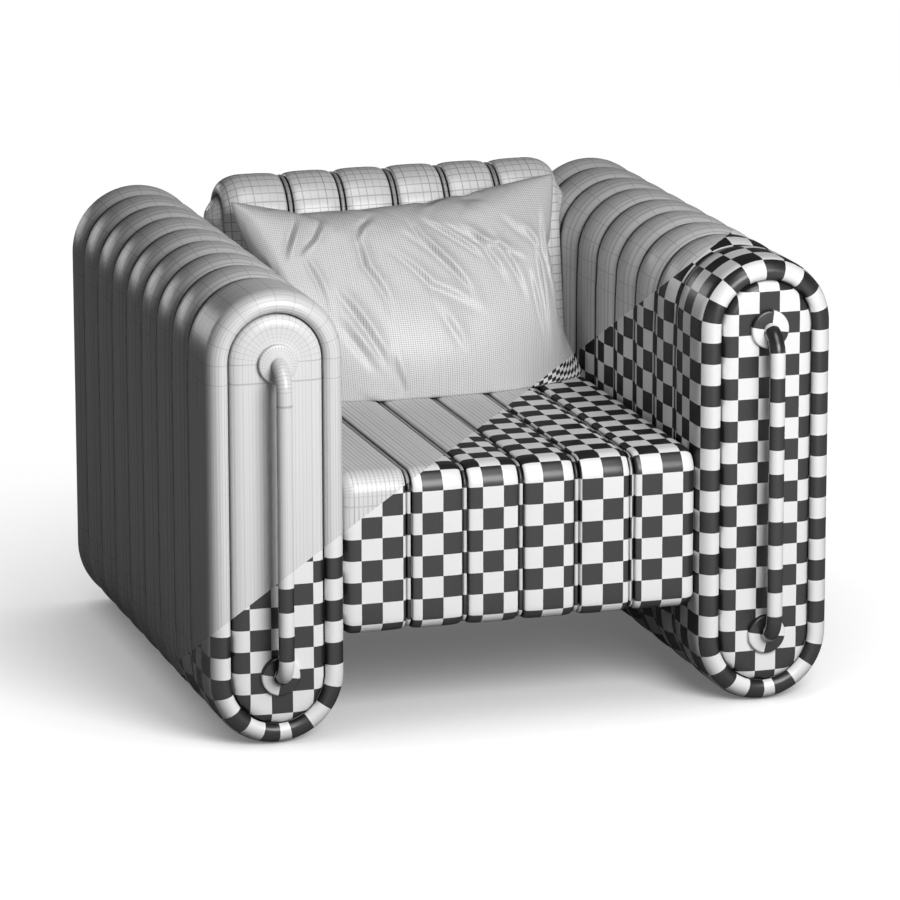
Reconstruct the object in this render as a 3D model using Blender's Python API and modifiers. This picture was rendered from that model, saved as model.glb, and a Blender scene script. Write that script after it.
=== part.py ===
"""Armchair: two upright capsule arms built of slabs, a channelled seat and back, grab bars and a pillow.

Metres, +Z up. The chair faces -Y. X runs from the sitter's right arm (negative) to the left arm
(positive). The origin is on the floor, under the middle of the chair's box.
"""

import math

import bmesh
import bpy
from mathutils import Matrix, Vector

# Fits
GAP = 0.0003
OVERRUN = 0.010
WELD = 0.00005

# Shading: faces that meet at less than this angle look like one surface
SMOOTH_ANGLE = math.radians(50)

# Arms: upright capsules, in slabs from front to rear
ARM_HEIGHT = 0.700
ARM_WIDTH = 0.2126
SEAT_SPACE = 0.5648
FRONT_SLAB = 0.1425
MIDDLE_SLAB = 0.0960
REAR_SLAB = 0.0785
MIDDLE_SLABS = 7
SLAB_CROWN = 0.0055
ARC_STEPS = 10
SOLE_CUT = 0.0005
SHOULDER_SHARE = 0.16
SHOULDER_DROP_SHARE = 0.25

# Rims and panels at the ends of the arms
RIM_WIDTH = 0.0327
RIM_ROLL_WIDTH = 0.0210
RIM_ROLL_DEPTH = 0.0300
RIM_INNER_DEPTH = 0.0120
RIM_ROLL_STEPS = 3
RIM_INNER_STEPS = 2
PANEL_POCKET = 0.0400
PANEL_EDGE = 0.0140
PANEL_EDGE_STEPS = 3
BOARD_THICKNESS = 0.0150

# Arm rails: the upper one hangs below the arm's top, the seat rail lies above the seat's underside
UPPER_RAIL_DROP = 0.1100
UPPER_RAIL_OFFSET = 0.0400
UPPER_RAIL_WIDTH = 0.0550
UPPER_RAIL_HEIGHT = 0.0300
SEAT_RAIL_RISE = 0.0550
SEAT_RAIL_OFFSET = 0.0400
SEAT_RAIL_WIDTH = 0.0550
SEAT_RAIL_HEIGHT = 0.0400
LOWER_RAIL_Z = 0.0650
LOWER_RAIL_WIDTH = 0.0800
LOWER_RAIL_HEIGHT = 0.0300

# Glides under the arms
GLIDE_RADIUS = 0.0150
GLIDE_HEIGHT = 0.0080
GLIDE_STEM_RADIUS = 0.0050
GLIDE_STEM_IN_RAIL = 0.0200
GLIDE_SIDES = 16

# Grab bars and their flanges
BAR_RADIUS = 0.0120
BAR_STANDOFF = 0.0391
BAR_BEND = 0.0360
BAR_UPPER_DROP = 0.1074
BAR_LOWER_RISE = 0.1111
BAR_SIDES = 12
BEND_STEPS = 6
FLANGE_RADIUS = 0.0300
FLANGE_THICKNESS = 0.0109
FLANGE_EDGE = 0.0025
FLANGE_STEPS = 20
STUD_RADIUS = 0.0040
STUD_LENGTH = 0.0330
STUD_SIDES = 8

# Rods that tie the seat and the back between the arms
ROD_RADIUS = 0.0050
ROD_SIDES = 10
ROD_IN_RAIL = 0.0300

# Seat
SEAT_TOP = 0.4065
SEAT_BOTTOM = 0.1550
SEAT_SETBACK = 0.0195
SEAT_SIDE_CLEARANCE = 0.0020
SEAT_CHANNEL = 0.0890
CHANNEL_PAIRS = 3
GROOVE_WIDTH = 0.0110
GROOVE_DEPTH = 0.0065
CHANNEL_SHOULDER = 0.0090
SEAT_TOP_ROLL = 0.0340
SEAT_TOP_STEPS = 4
SEAT_BOTTOM_ROLL = 0.0250
SEAT_BOTTOM_STEPS = 3
SEAT_REAR_ROLL = 0.0200
SEAT_REAR_STEPS = 2
SEAT_END_ROLL = 0.0170
SEAT_END_DROP = 0.0150
SEAT_END_STEPS = 2
SEAT_QUILT = 0.0600
SEAT_FRONT_QUILT = 0.0450
SEAT_LIP = 0.0200
SEAT_LIP_REACH = 0.0200
FRAME_RAIL_THICKNESS = 0.0250
FRAME_RAIL_HEIGHT = 0.0800
STRAP_WIDTH = 0.0500
STRAP_THICKNESS = 0.0015
SEAT_STRAPS = 5
DUST_COVER_THICKNESS = 0.0015
SEAT_ROD_SHARES = (0.22, 0.78)

# Back
BACK_LEAN = math.radians(8.8)
BACK_THICKNESS = 0.1400
BACK_OVER_ARMS = 0.0300
BACK_MIDDLE_FROM_REAR = 0.2210
BACK_CHANNEL = 0.0876
BACK_END_ROLL = 0.0380
BACK_END_DROP = 0.0240
BACK_END_STEPS = 3
BACK_RIM = 0.0300
BACK_QUILT_FRONT = 0.0500
BACK_QUILT_TOP = 0.0650
BACK_FRAME_DEPTH = 0.0500
BACK_POCKET = 0.0220
SIDE_PAD_EDGE = 0.0120
SIDE_PAD_STEPS = 3
BACK_UPRIGHT = 0.0220
BACK_RAIL_HEIGHT = 0.0500
BACK_RAIL_RISE = 0.0700
BACK_STRAPS = 5

# Pillow
PILLOW_WIDTH = 0.5400
PILLOW_HEIGHT = 0.3350
PILLOW_FRONT = 0.0800
PILLOW_REAR = 0.0600
PILLOW_LEAN = math.radians(18.9)
PILLOW_DRAW_IN = 0.0270
PILLOW_LOW_SHARE = 0.30
PILLOW_COLUMNS = 14
PILLOW_ROWS = 8
COVER_THICKNESS = 0.0010
COVER_SLIT = 0.0020
COVER_SLIT_SHARE = 0.60
INSERT_SEAM_INSET = 0.0120
INSERT_CLEARANCE = 0.0005

# Sizes that follow from those above
ARM_DEPTH = FRONT_SLAB + MIDDLE_SLABS * MIDDLE_SLAB + REAR_SLAB
ARM_HALF = ARM_WIDTH / 2
ARM_X = SEAT_SPACE / 2 + ARM_HALF
REACH = BAR_STANDOFF + BAR_RADIUS
FRONT_Y = (REACH - ARM_DEPTH) / 2
REAR_Y = FRONT_Y + ARM_DEPTH
BOARD_OUTLINE = RIM_WIDTH + GAP
BAR_Y = FRONT_Y - BAR_STANDOFF
BAR_TOP_Z = ARM_HEIGHT - BAR_UPPER_DROP
UPPER_RAIL_Z = ARM_HEIGHT - UPPER_RAIL_DROP
SEAT_RAIL_Z = SEAT_BOTTOM + SEAT_RAIL_RISE
SEAT_FRONT_Y = FRONT_Y + SEAT_SETBACK
SEAT_HALF = SEAT_SPACE / 2 - SEAT_SIDE_CLEARANCE
FRAME_HALF = SEAT_SPACE / 2 - GAP
FRAME_BOTTOM = SEAT_BOTTOM + SEAT_LIP + GAP
FRAME_TOP = FRAME_BOTTOM + FRAME_RAIL_HEIGHT
FRAME_FRONT_Y = SEAT_FRONT_Y + SEAT_FRONT_QUILT + GAP
BACK_HALF = BACK_THICKNESS / 2
BACK_TOP = ARM_HEIGHT + BACK_OVER_ARMS
BACK_ORIGIN_Z = SEAT_BOTTOM + BACK_HALF * math.sin(BACK_LEAN)
BACK_ORIGIN_Y = REAR_Y - BACK_MIDDLE_FROM_REAR
BACK_STRAIGHT = (BACK_TOP - BACK_HALF - BACK_ORIGIN_Z) / math.cos(BACK_LEAN)
CAVITY_FRONT = BACK_QUILT_FRONT - BACK_HALF
STRAP_REAR = CAVITY_FRONT + GAP + STRAP_THICKNESS
FRAME_FRONT_W = STRAP_REAR + GAP
FRAME_REAR_W = FRAME_FRONT_W + BACK_FRAME_DEPTH
CAVITY_REAR = FRAME_REAR_W + GAP
CAVITY_TOP = BACK_STRAIGHT + BACK_HALF - BACK_QUILT_TOP
UPRIGHT_OUTER = FRAME_HALF - BACK_POCKET - GAP
SIDES = (("right", -1), ("left", 1))


def clear_scene():
    """Remove every object that the scene starts with."""
    for obj in list(bpy.data.objects):
        bpy.data.objects.remove(obj)


def new_collection(name, hidden=False):
    """A collection in the scene, for parts or for cutters."""
    collection = bpy.data.collections.new(name)
    bpy.context.scene.collection.children.link(collection)
    collection.hide_render = hidden
    return collection


def new_material(name, colour, roughness, metallic=0.0):
    """A plain Principled material."""
    material = bpy.data.materials.new(name)
    material.use_nodes = True
    shader = material.node_tree.nodes["Principled BSDF"]
    shader.inputs["Base Color"].default_value = (*colour, 1.0)
    shader.inputs["Roughness"].default_value = roughness
    shader.inputs["Metallic"].default_value = metallic
    material.diffuse_color = (*colour, 1.0)
    return material


clear_scene()
PARTS = new_collection("armchair")
CUTTERS = new_collection("armchair_cutters", hidden=True)
CLOTH = new_material("pale_grey_cloth", (0.72, 0.72, 0.72), 0.8)
PILLOW_CLOTH = new_material("pillow_cloth", (0.62, 0.62, 0.62), 0.85)
FOAM = new_material("foam", (0.85, 0.80, 0.62), 0.9)
BEECH = new_material("beech", (0.72, 0.55, 0.37), 0.6)
PLYWOOD = new_material("birch_plywood", (0.70, 0.56, 0.38), 0.6)
STEEL = new_material("zinc_steel", (0.60, 0.61, 0.62), 0.35, 1.0)
BAR_FINISH = new_material("bar_finish", (0.68, 0.68, 0.68), 0.35)
WEB = new_material("webbing", (0.12, 0.11, 0.10), 0.8)
DUST_CLOTH = new_material("dust_cloth", (0.08, 0.08, 0.08), 0.9)
NYLON = new_material("nylon", (0.05, 0.05, 0.05), 0.5)


def finish(bm, name, material=None, smooth=False):
    """Turn a bmesh into a part, or into a cutter where no material is given."""
    mesh = bpy.data.meshes.new(name)
    bm.to_mesh(mesh)
    bm.free()
    obj = bpy.data.objects.new(name, mesh)
    if material is None:
        CUTTERS.objects.link(obj)
        obj.display_type = "WIRE"
        obj.hide_render = True
        return obj
    PARTS.objects.link(obj)
    mesh.materials.append(material)
    if smooth:
        mesh.shade_smooth()
        mesh.set_sharp_from_angle(angle=SMOOTH_ANGLE)
    return obj


def cut(obj, cutter):
    """Take the cutter out of the object."""
    boolean = obj.modifiers.new("cut_" + cutter.name, "BOOLEAN")
    boolean.operation = "DIFFERENCE"
    boolean.solver = "EXACT"
    boolean.object = cutter


def loft(bm, rings):
    """Skin between rings of points that all have the same count, with a face over each end."""
    loops = [[bm.verts.new(point) for point in ring] for ring in rings]
    for low, high in zip(loops, loops[1:]):
        for i, vert in enumerate(low):
            j = (i + 1) % len(low)
            bm.faces.new((vert, low[j], high[j], high[i]))
    bm.faces.new(loops[0])
    bm.faces.new(loops[-1])
    bmesh.ops.recalc_face_normals(bm, faces=bm.faces[:])


def box(bm, low, high):
    """A box between two corners, from a primitive cube."""
    low = Vector(low)
    high = Vector(high)
    size = high - low
    place = Matrix.Translation((low + high) / 2) @ Matrix.Diagonal((*size, 1.0))
    bmesh.ops.create_cube(bm, size=1.0, matrix=place)


def arc(centre_a, centre_b, radius, start, stop, steps):
    """Points on an arc, both ends included. Angles in degrees."""
    angles = (math.radians(start + (stop - start) * i / steps) for i in range(steps + 1))
    return [(centre_a + radius * math.cos(t), centre_b + radius * math.sin(t)) for t in angles]


def capsule(half, bottom, top, inset):
    """Outline of an upright capsule drawn in by an inset, as (across, up) points."""
    radius = half - inset
    upper = arc(0, top - half, radius, 0, 180, ARC_STEPS)
    lower = arc(0, bottom + half, radius, 180, 360, ARC_STEPS)
    return upper + lower


def turned(name, profile, steps, material=None):
    """A profile of (radius, height) points turned about Z, given from the top down."""
    mesh = bpy.data.meshes.new(name)
    points = [(radius, 0, height) for radius, height in profile]
    mesh.from_pydata(points, [(i, i + 1) for i in range(len(points) - 1)], [])
    obj = bpy.data.objects.new(name, mesh)
    screw = obj.modifiers.new("turn", "SCREW")
    screw.steps = steps
    screw.render_steps = steps
    screw.use_merge_vertices = True
    screw.merge_threshold = WELD
    screw.use_smooth_shade = False
    if material is None:
        CUTTERS.objects.link(obj)
        obj.display_type = "WIRE"
        obj.hide_render = True
    else:
        PARTS.objects.link(obj)
        mesh.materials.append(material)
    return obj


def back_point(w, v):
    """World (y, z) of a point in the leaning back: w towards the rear, v up along it."""
    y = BACK_ORIGIN_Y + w * math.cos(BACK_LEAN) + v * math.sin(BACK_LEAN)
    z = BACK_ORIGIN_Z - w * math.sin(BACK_LEAN) + v * math.cos(BACK_LEAN)
    return y, z


def back_front_y(z):
    """Y of the back's front face, on the crests of its channels, at a height."""
    low_y, low_z = back_point(-BACK_HALF, 0)
    return low_y + (z - low_z) * math.tan(BACK_LEAN)


def arm_rails():
    """Name, offset towards the seat, middle height, width and height of each rail in an arm."""
    return (
        ("upper_rail", UPPER_RAIL_OFFSET, UPPER_RAIL_Z, UPPER_RAIL_WIDTH, UPPER_RAIL_HEIGHT),
        ("seat_rail", SEAT_RAIL_OFFSET, SEAT_RAIL_Z, SEAT_RAIL_WIDTH, SEAT_RAIL_HEIGHT),
        ("lower_rail", 0.0, LOWER_RAIL_Z, LOWER_RAIL_WIDTH, LOWER_RAIL_HEIGHT),
    )


def rail_box(bm, side, rail, front, rear, grow):
    """Box of one arm rail between two Y positions."""
    _, offset, z, width, height = rail
    x = side * (ARM_X - offset)
    half_width = width / 2 + grow
    half_height = height / 2 + grow
    box(bm, (x - half_width, front, z - half_height), (x + half_width, rear, z + half_height))


def seat_rear_rail_y():
    """Rear face of the seat's rear rail, just ahead of the back."""
    return back_front_y(FRAME_BOTTOM) - GAP


def tie_rods():
    """Name, y, z and half length of the rods that run from one arm's rail to the other's."""
    run = seat_rear_rail_y() - FRAME_FRONT_Y
    seat_reach = ARM_X - SEAT_RAIL_OFFSET - SEAT_RAIL_WIDTH / 2 + ROD_IN_RAIL
    upper_reach = ARM_X - UPPER_RAIL_OFFSET - UPPER_RAIL_WIDTH / 2 + ROD_IN_RAIL
    front, rear = (FRAME_FRONT_Y + share * run for share in SEAT_ROD_SHARES)
    middle = (FRAME_FRONT_W + FRAME_REAR_W) / 2
    rods = [
        ("seat_front_tie_rod", front, SEAT_RAIL_Z, seat_reach),
        ("seat_rear_tie_rod", rear, SEAT_RAIL_Z, seat_reach),
    ]
    for name, z, reach in (
        ("back_lower_tie_rod", SEAT_RAIL_Z, seat_reach),
        ("back_upper_tie_rod", UPPER_RAIL_Z, upper_reach),
    ):
        v = (z - BACK_ORIGIN_Z + middle * math.sin(BACK_LEAN)) / math.cos(BACK_LEAN)
        rods.append((name, back_point(middle, v)[0], z, reach))
    return rods


def rod(bm, y, z, reach, grow):
    """A round rod along X."""
    place = Matrix.Translation((0, y, z)) @ Matrix.Rotation(math.pi / 2, 4, "Y")
    radius = ROD_RADIUS + grow
    bmesh.ops.create_cone(bm, cap_ends=True, segments=ROD_SIDES, radius1=radius, radius2=radius,
                          depth=2 * (reach + grow), matrix=place)


def make_tie_rods():
    """The rods, and one cutter that holds all their holes."""
    holes = bmesh.new()
    for name, y, z, reach in tie_rods():
        bm = bmesh.new()
        rod(bm, y, z, reach, 0)
        finish(bm, name, STEEL, smooth=True)
        rod(holes, y, z, reach, GAP)
    return finish(holes, "rod_holes")


def slab_rings(side, pairs):
    """Capsule rings of an arm from (y, inset) pairs, cut flat at the sole."""
    rings = []
    for y, inset in pairs:
        outline = capsule(ARM_HALF, 0, ARM_HEIGHT, inset)
        rings.append([(side * ARM_X + x, y, max(z, SOLE_CUT)) for x, z in outline])
    return rings


def middle_pairs(front, rear):
    """Crowned slab between two seams."""
    width = rear - front
    shoulder = SHOULDER_SHARE * width
    drop = SHOULDER_DROP_SHARE * SLAB_CROWN
    return [
        (front, SLAB_CROWN),
        (front + shoulder, drop),
        ((front + rear) / 2, 0),
        (rear - shoulder, drop),
        (rear, SLAB_CROWN),
    ]


def end_pairs(face, seam):
    """Slab at an end of the arm: seam, crown, rolled rim and the pocket for board and panel."""
    inward = math.copysign(1, seam - face)
    shoulder = SHOULDER_SHARE * MIDDLE_SLAB
    drop = SHOULDER_DROP_SHARE * SLAB_CROWN
    pairs = [(seam, SLAB_CROWN), (seam - inward * shoulder, drop)]
    if abs(seam - face) > RIM_ROLL_DEPTH + MIDDLE_SLAB / 2:
        pairs.append((seam - inward * MIDDLE_SLAB / 2, 0))
    for across, along in arc(0, 0, 1, 90, 0, RIM_ROLL_STEPS):
        y = face + inward * RIM_ROLL_DEPTH * (1 - across)
        pairs.append((y, RIM_ROLL_WIDTH * (1 - along)))
    inner = RIM_WIDTH - RIM_ROLL_WIDTH
    for across, along in arc(0, 0, 1, 90, 0, RIM_INNER_STEPS)[1:]:
        y = face + inward * RIM_INNER_DEPTH * (1 - along)
        pairs.append((y, RIM_ROLL_WIDTH + inner * across))
    pairs.append((face + inward * PANEL_POCKET, RIM_WIDTH))
    return pairs


def glide(name, x, y, grow, foot, material=None):
    """A glide: a stem up into the lower rail over a flat foot that ends at the height foot."""
    top = LOWER_RAIL_Z - LOWER_RAIL_HEIGHT / 2 + GLIDE_STEM_IN_RAIL + grow
    profile = [
        (0, top),
        (GLIDE_STEM_RADIUS + grow, top),
        (GLIDE_STEM_RADIUS + grow, GLIDE_HEIGHT + grow),
        (GLIDE_RADIUS + grow, GLIDE_HEIGHT + grow),
        (GLIDE_RADIUS + grow, foot),
        (0, foot),
    ]
    obj = turned(name, profile, GLIDE_SIDES, material)
    obj.location = (x, y, 0)
    return obj


def make_glides(side_name, side):
    """Glides under the first and the last middle slab, and their holes."""
    front = FRONT_Y + FRONT_SLAB + MIDDLE_SLAB / 2
    rear = REAR_Y - REAR_SLAB - MIDDLE_SLAB / 2
    holes = {}
    for end, number, y in (("front", 2, front), ("rear", MIDDLE_SLABS + 1, rear)):
        glide(f"{side_name}_arm_{end}_glide", side * ARM_X, y, 0, 0, NYLON)
        holes[number] = glide(f"{side_name}_{end}_glide_hole", side * ARM_X, y, GAP, -OVERRUN)
    return holes


def studs(bm, side, grow):
    """Threaded studs of one grab bar: from inside its flanges through the panel into the board."""
    front = FRONT_Y - FLANGE_THICKNESS / 2
    rear = FRONT_Y + STUD_LENGTH
    radius = STUD_RADIUS + grow
    for z in (BAR_TOP_Z, BAR_LOWER_RISE):
        middle = Matrix.Translation((side * ARM_X, (front + rear) / 2, z))
        place = middle @ Matrix.Rotation(math.pi / 2, 4, "X")
        bmesh.ops.create_cone(bm, cap_ends=True, segments=STUD_SIDES, radius1=radius, radius2=radius,
                              depth=rear - front + 2 * grow, matrix=place)


def make_slabs(side_name, side, rod_holes, glide_holes):
    """The nine slabs of one arm, numbered from the front, with slots for its rails."""
    bm = bmesh.new()
    for rail in arm_rails():
        rail_box(bm, side, rail, FRONT_Y - OVERRUN, REAR_Y + OVERRUN, GAP)
    rail_slots = finish(bm, side_name + "_rail_slots")
    seams = [FRONT_Y + FRONT_SLAB + i * MIDDLE_SLAB for i in range(MIDDLE_SLABS + 1)]
    outlines = [end_pairs(FRONT_Y, seams[0] - GAP / 2)]
    for front, rear in zip(seams, seams[1:]):
        outlines.append(middle_pairs(front + GAP / 2, rear - GAP / 2))
    outlines.append(end_pairs(REAR_Y, seams[-1] + GAP / 2))
    for number, pairs in enumerate(outlines, start=1):
        bm = bmesh.new()
        loft(bm, slab_rings(side, pairs))
        slab = finish(bm, f"{side_name}_arm_slab_{number}", CLOTH, smooth=True)
        cut(slab, rail_slots)
        cut(slab, rod_holes)
        if number in glide_holes:
            cut(slab, glide_holes[number])


def make_panels(side_name, side):
    """Padded panel and plywood board in the rim at each end of one arm."""
    bm = bmesh.new()
    studs(bm, side, GAP)
    stud_holes = finish(bm, side_name + "_stud_holes")
    for end, face, inward in (("front", FRONT_Y, 1), ("rear", REAR_Y, -1)):
        board_face = face + inward * (PANEL_POCKET - GAP - BOARD_THICKNESS)
        pairs = [(board_face, BOARD_OUTLINE), (board_face + inward * BOARD_THICKNESS, BOARD_OUTLINE)]
        bm = bmesh.new()
        loft(bm, slab_rings(side, pairs))
        board = finish(bm, f"{side_name}_arm_{end}_board", PLYWOOD)
        pairs = [(board_face - inward * GAP, BOARD_OUTLINE), (face + inward * PANEL_EDGE, BOARD_OUTLINE)]
        for across, along in arc(0, 0, 1, 0, 90, PANEL_EDGE_STEPS)[1:]:
            y = face + inward * PANEL_EDGE * (1 - along)
            pairs.append((y, BOARD_OUTLINE + PANEL_EDGE * (1 - across)))
        bm = bmesh.new()
        loft(bm, slab_rings(side, pairs))
        panel = finish(bm, f"{side_name}_arm_{end}_panel", CLOTH, smooth=True)
        if end == "front":
            cut(board, stud_holes)
            cut(panel, stud_holes)


def make_arm_rails(side_name, side, rod_holes, glide_holes):
    """Rails between the two end boards of one arm."""
    front = FRONT_Y + PANEL_POCKET
    rear = REAR_Y - PANEL_POCKET
    for rail in arm_rails():
        bm = bmesh.new()
        rail_box(bm, side, rail, front, rear, 0)
        obj = finish(bm, f"{side_name}_arm_{rail[0]}", BEECH)
        if rail[0] != "lower_rail":
            cut(obj, rod_holes)
            continue
        for hole in glide_holes.values():
            cut(obj, hole)


def bar_tube(name, side):
    """Mesh of a grab bar's tube: out of the upper flange, down and back into the lower one."""
    upper = arc(BAR_Y + BAR_BEND, BAR_TOP_Z - BAR_BEND, BAR_BEND, 90, 180, BEND_STEPS)
    lower = arc(BAR_Y + BAR_BEND, BAR_LOWER_RISE + BAR_BEND, BAR_BEND, 180, 270, BEND_STEPS)
    path = upper + lower
    curve = bpy.data.curves.new(name, "CURVE")
    curve.dimensions = "3D"
    curve.bevel_depth = BAR_RADIUS
    curve.bevel_resolution = BAR_SIDES // 2 - 2
    curve.use_fill_caps = True
    spline = curve.splines.new("POLY")
    spline.points.add(len(path) - 1)
    for point, (y, z) in zip(spline.points, path):
        point.co = (side * ARM_X, y, z, 1)
    guide = bpy.data.objects.new(name, curve)
    CUTTERS.objects.link(guide)
    view = bpy.context.evaluated_depsgraph_get()
    mesh = bpy.data.meshes.new_from_object(guide.evaluated_get(view))
    bpy.data.objects.remove(guide)
    bm = bmesh.new()
    bm.from_mesh(mesh)
    bmesh.ops.remove_doubles(bm, verts=bm.verts[:], dist=WELD)
    return bm


def flange(name, side, z):
    """Round flange under the end of a grab bar, on the front panel."""
    profile = [
        (0, FLANGE_THICKNESS),
        (FLANGE_RADIUS - FLANGE_EDGE, FLANGE_THICKNESS),
        (FLANGE_RADIUS, FLANGE_THICKNESS - FLANGE_EDGE),
        (FLANGE_RADIUS, GAP),
        (0, GAP),
    ]
    obj = turned(name, profile, FLANGE_STEPS)
    obj.location = (side * ARM_X, FRONT_Y, z)
    obj.rotation_euler = (math.pi / 2, 0, 0)
    return obj


def make_bar(side_name, side):
    """Grab bar: a bent tube welded to two round flanges with studs."""
    bar = finish(bar_tube(side_name + "_tube", side), side_name + "_grab_bar", BAR_FINISH, smooth=True)
    bm = bmesh.new()
    studs(bm, side, 0)
    welded = [
        flange(side_name + "_upper_flange", side, BAR_TOP_Z),
        flange(side_name + "_lower_flange", side, BAR_LOWER_RISE),
        finish(bm, side_name + "_studs"),
    ]
    for piece in welded:
        join = bar.modifiers.new("weld_" + piece.name, "BOOLEAN")
        join.operation = "UNION"
        join.solver = "EXACT"
        join.object = piece


def make_arms(rod_holes):
    """Both arms with their glides, slabs, panels, boards, rails and grab bars."""
    for side_name, side in SIDES:
        glide_holes = make_glides(side_name, side)
        make_slabs(side_name, side, rod_holes, glide_holes)
        make_panels(side_name, side)
        make_arm_rails(side_name, side, rod_holes, glide_holes)
        make_bar(side_name, side)


def quilt_columns(half, pitch, end_roll, end_drop, end_steps):
    """(x, inset) across a channelled cushion: rolled ends, crowned channels and flat-bottomed grooves."""
    right = []
    groove_half = GROOVE_WIDTH / 2
    for i in range(CHANNEL_PAIRS):
        start = i * pitch + groove_half
        last = i == CHANNEL_PAIRS - 1
        stop = half if last else (i + 1) * pitch - groove_half
        right.append((start, GROOVE_DEPTH))
        right.append((start + CHANNEL_SHOULDER, SHOULDER_DROP_SHARE * GROOVE_DEPTH))
        if last:
            for along, up in arc(0, 0, 1, 90, 0, end_steps):
                right.append((half - end_roll * (1 - along), end_drop * (1 - up)))
        else:
            right.append(((start + stop) / 2, 0))
            right.append((stop - CHANNEL_SHOULDER, SHOULDER_DROP_SHARE * GROOVE_DEPTH))
            right.append((stop, GROOVE_DEPTH))
    return [(-x, inset) for x, inset in reversed(right)] + right


def seat_ring(x, inset):
    """Section of the seat quilt: under the front rail, up the front and over the top to the back."""
    bottom = arc(SEAT_FRONT_Y + SEAT_BOTTOM_ROLL, SEAT_BOTTOM + SEAT_BOTTOM_ROLL,
                 SEAT_BOTTOM_ROLL - inset, 270, 180, SEAT_BOTTOM_STEPS)
    top = arc(SEAT_FRONT_Y + SEAT_TOP_ROLL, SEAT_TOP - SEAT_TOP_ROLL,
              SEAT_TOP_ROLL - inset, 180, 90, SEAT_TOP_STEPS)
    rear_y = back_front_y(SEAT_TOP - SEAT_REAR_ROLL) - GAP
    rear = arc(rear_y - SEAT_REAR_ROLL, SEAT_TOP - SEAT_REAR_ROLL,
               SEAT_REAR_ROLL - inset, 90, 0, SEAT_REAR_STEPS)
    lip_y = FRAME_FRONT_Y + SEAT_LIP_REACH
    under = SEAT_TOP - SEAT_QUILT
    inner = [
        (back_front_y(under) - GAP - inset, under),
        (SEAT_FRONT_Y + SEAT_FRONT_QUILT, under),
        (SEAT_FRONT_Y + SEAT_FRONT_QUILT, SEAT_BOTTOM + SEAT_LIP),
        (lip_y, SEAT_BOTTOM + SEAT_LIP),
    ]
    outline = [(lip_y, SEAT_BOTTOM + inset)] + bottom + top + rear + inner
    return [(x, y, z) for y, z in outline]


def slotted_band(name, low, high, slots):
    """Webbing as one flat ladder between two corners, with a cutter that holds its slots."""
    bm = bmesh.new()
    box(bm, low, high)
    band = finish(bm, name, WEB)
    bm = bmesh.new()
    for slot_low, slot_high in slots:
        box(bm, slot_low, slot_high)
    holes = finish(bm, name + "_slots")
    cut(band, holes)
    return band, holes


def slot_spans(half, straps):
    """X ranges of the gaps between straps that share a width evenly, an edge strap at each end."""
    run = (2 * half - STRAP_WIDTH) / (straps - 1)
    starts = [STRAP_WIDTH - half + i * run for i in range(straps - 1)]
    return [(start, start + run - STRAP_WIDTH) for start in starts]


def make_seat_frame(rod_holes):
    """Wooden frame of the seat with its webbing and dust cover."""
    rear_y = seat_rear_rail_y()
    front_y = FRAME_FRONT_Y
    thick = FRAME_RAIL_THICKNESS
    side_front = front_y + thick + GAP
    side_rear = rear_y - thick - GAP
    rails = {
        "seat_front_rail": ((-FRAME_HALF, front_y), (FRAME_HALF, front_y + thick)),
        "seat_rear_rail": ((-FRAME_HALF, rear_y - thick), (FRAME_HALF, rear_y)),
        "seat_right_rail": ((-FRAME_HALF, side_front), (thick - FRAME_HALF, side_rear)),
        "seat_left_rail": ((FRAME_HALF - thick, side_front), (FRAME_HALF, side_rear)),
    }
    for name, (low, high) in rails.items():
        bm = bmesh.new()
        box(bm, (*low, FRAME_BOTTOM), (*high, FRAME_TOP))
        cut(finish(bm, name, BEECH), rod_holes)
    low = FRAME_TOP + GAP
    high = low + STRAP_THICKNESS
    slots = [((start, front_y + thick, low - OVERRUN), (stop, rear_y - thick, high + OVERRUN))
             for start, stop in slot_spans(SEAT_HALF, SEAT_STRAPS)]
    slotted_band("seat_webbing", (-SEAT_HALF, front_y, low), (SEAT_HALF, rear_y, high), slots)
    cover_top = FRAME_BOTTOM - GAP
    bm = bmesh.new()
    box(bm, (-FRAME_HALF, FRAME_FRONT_Y + SEAT_LIP_REACH + GAP, cover_top - DUST_COVER_THICKNESS),
        (FRAME_HALF, rear_y, cover_top))
    finish(bm, "seat_dust_cover", DUST_CLOTH)


def make_seat(rod_holes):
    """Channelled seat quilt over its foam, and the frame under both."""
    bm = bmesh.new()
    columns = quilt_columns(SEAT_HALF, SEAT_CHANNEL, SEAT_END_ROLL, SEAT_END_DROP, SEAT_END_STEPS)
    loft(bm, [seat_ring(x, inset) for x, inset in columns])
    finish(bm, "seat_quilt", CLOTH, smooth=True)
    foam_bottom = FRAME_TOP + STRAP_THICKNESS + 2 * GAP
    bm = bmesh.new()
    box(bm, (-SEAT_HALF, FRAME_FRONT_Y, foam_bottom),
        (SEAT_HALF, back_front_y(foam_bottom) - GAP, SEAT_TOP - SEAT_QUILT - GAP))
    finish(bm, "seat_foam", FOAM)
    make_seat_frame(rod_holes)


def back_ring(x, inset):
    """Section of the back quilt: up the rear, over the roll, down the front, with a cavity from below."""
    crest = arc(0, BACK_STRAIGHT, BACK_HALF - inset, 0, 180, ARC_STEPS)
    outline = [(BACK_HALF - inset, 0)] + crest + [(inset - BACK_HALF, 0)]
    outline += [(CAVITY_FRONT, 0), (CAVITY_FRONT, CAVITY_TOP), (CAVITY_REAR, CAVITY_TOP), (CAVITY_REAR, 0)]
    return [(x, *back_point(w, v)) for w, v in outline]


def pad_outline(inset):
    """Outline of the pocket in the back's ends, as (w, v) points drawn in by an inset."""
    return capsule(BACK_HALF - BACK_RIM, BACK_RIM, BACK_STRAIGHT + BACK_HALF - BACK_RIM, inset)


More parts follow.
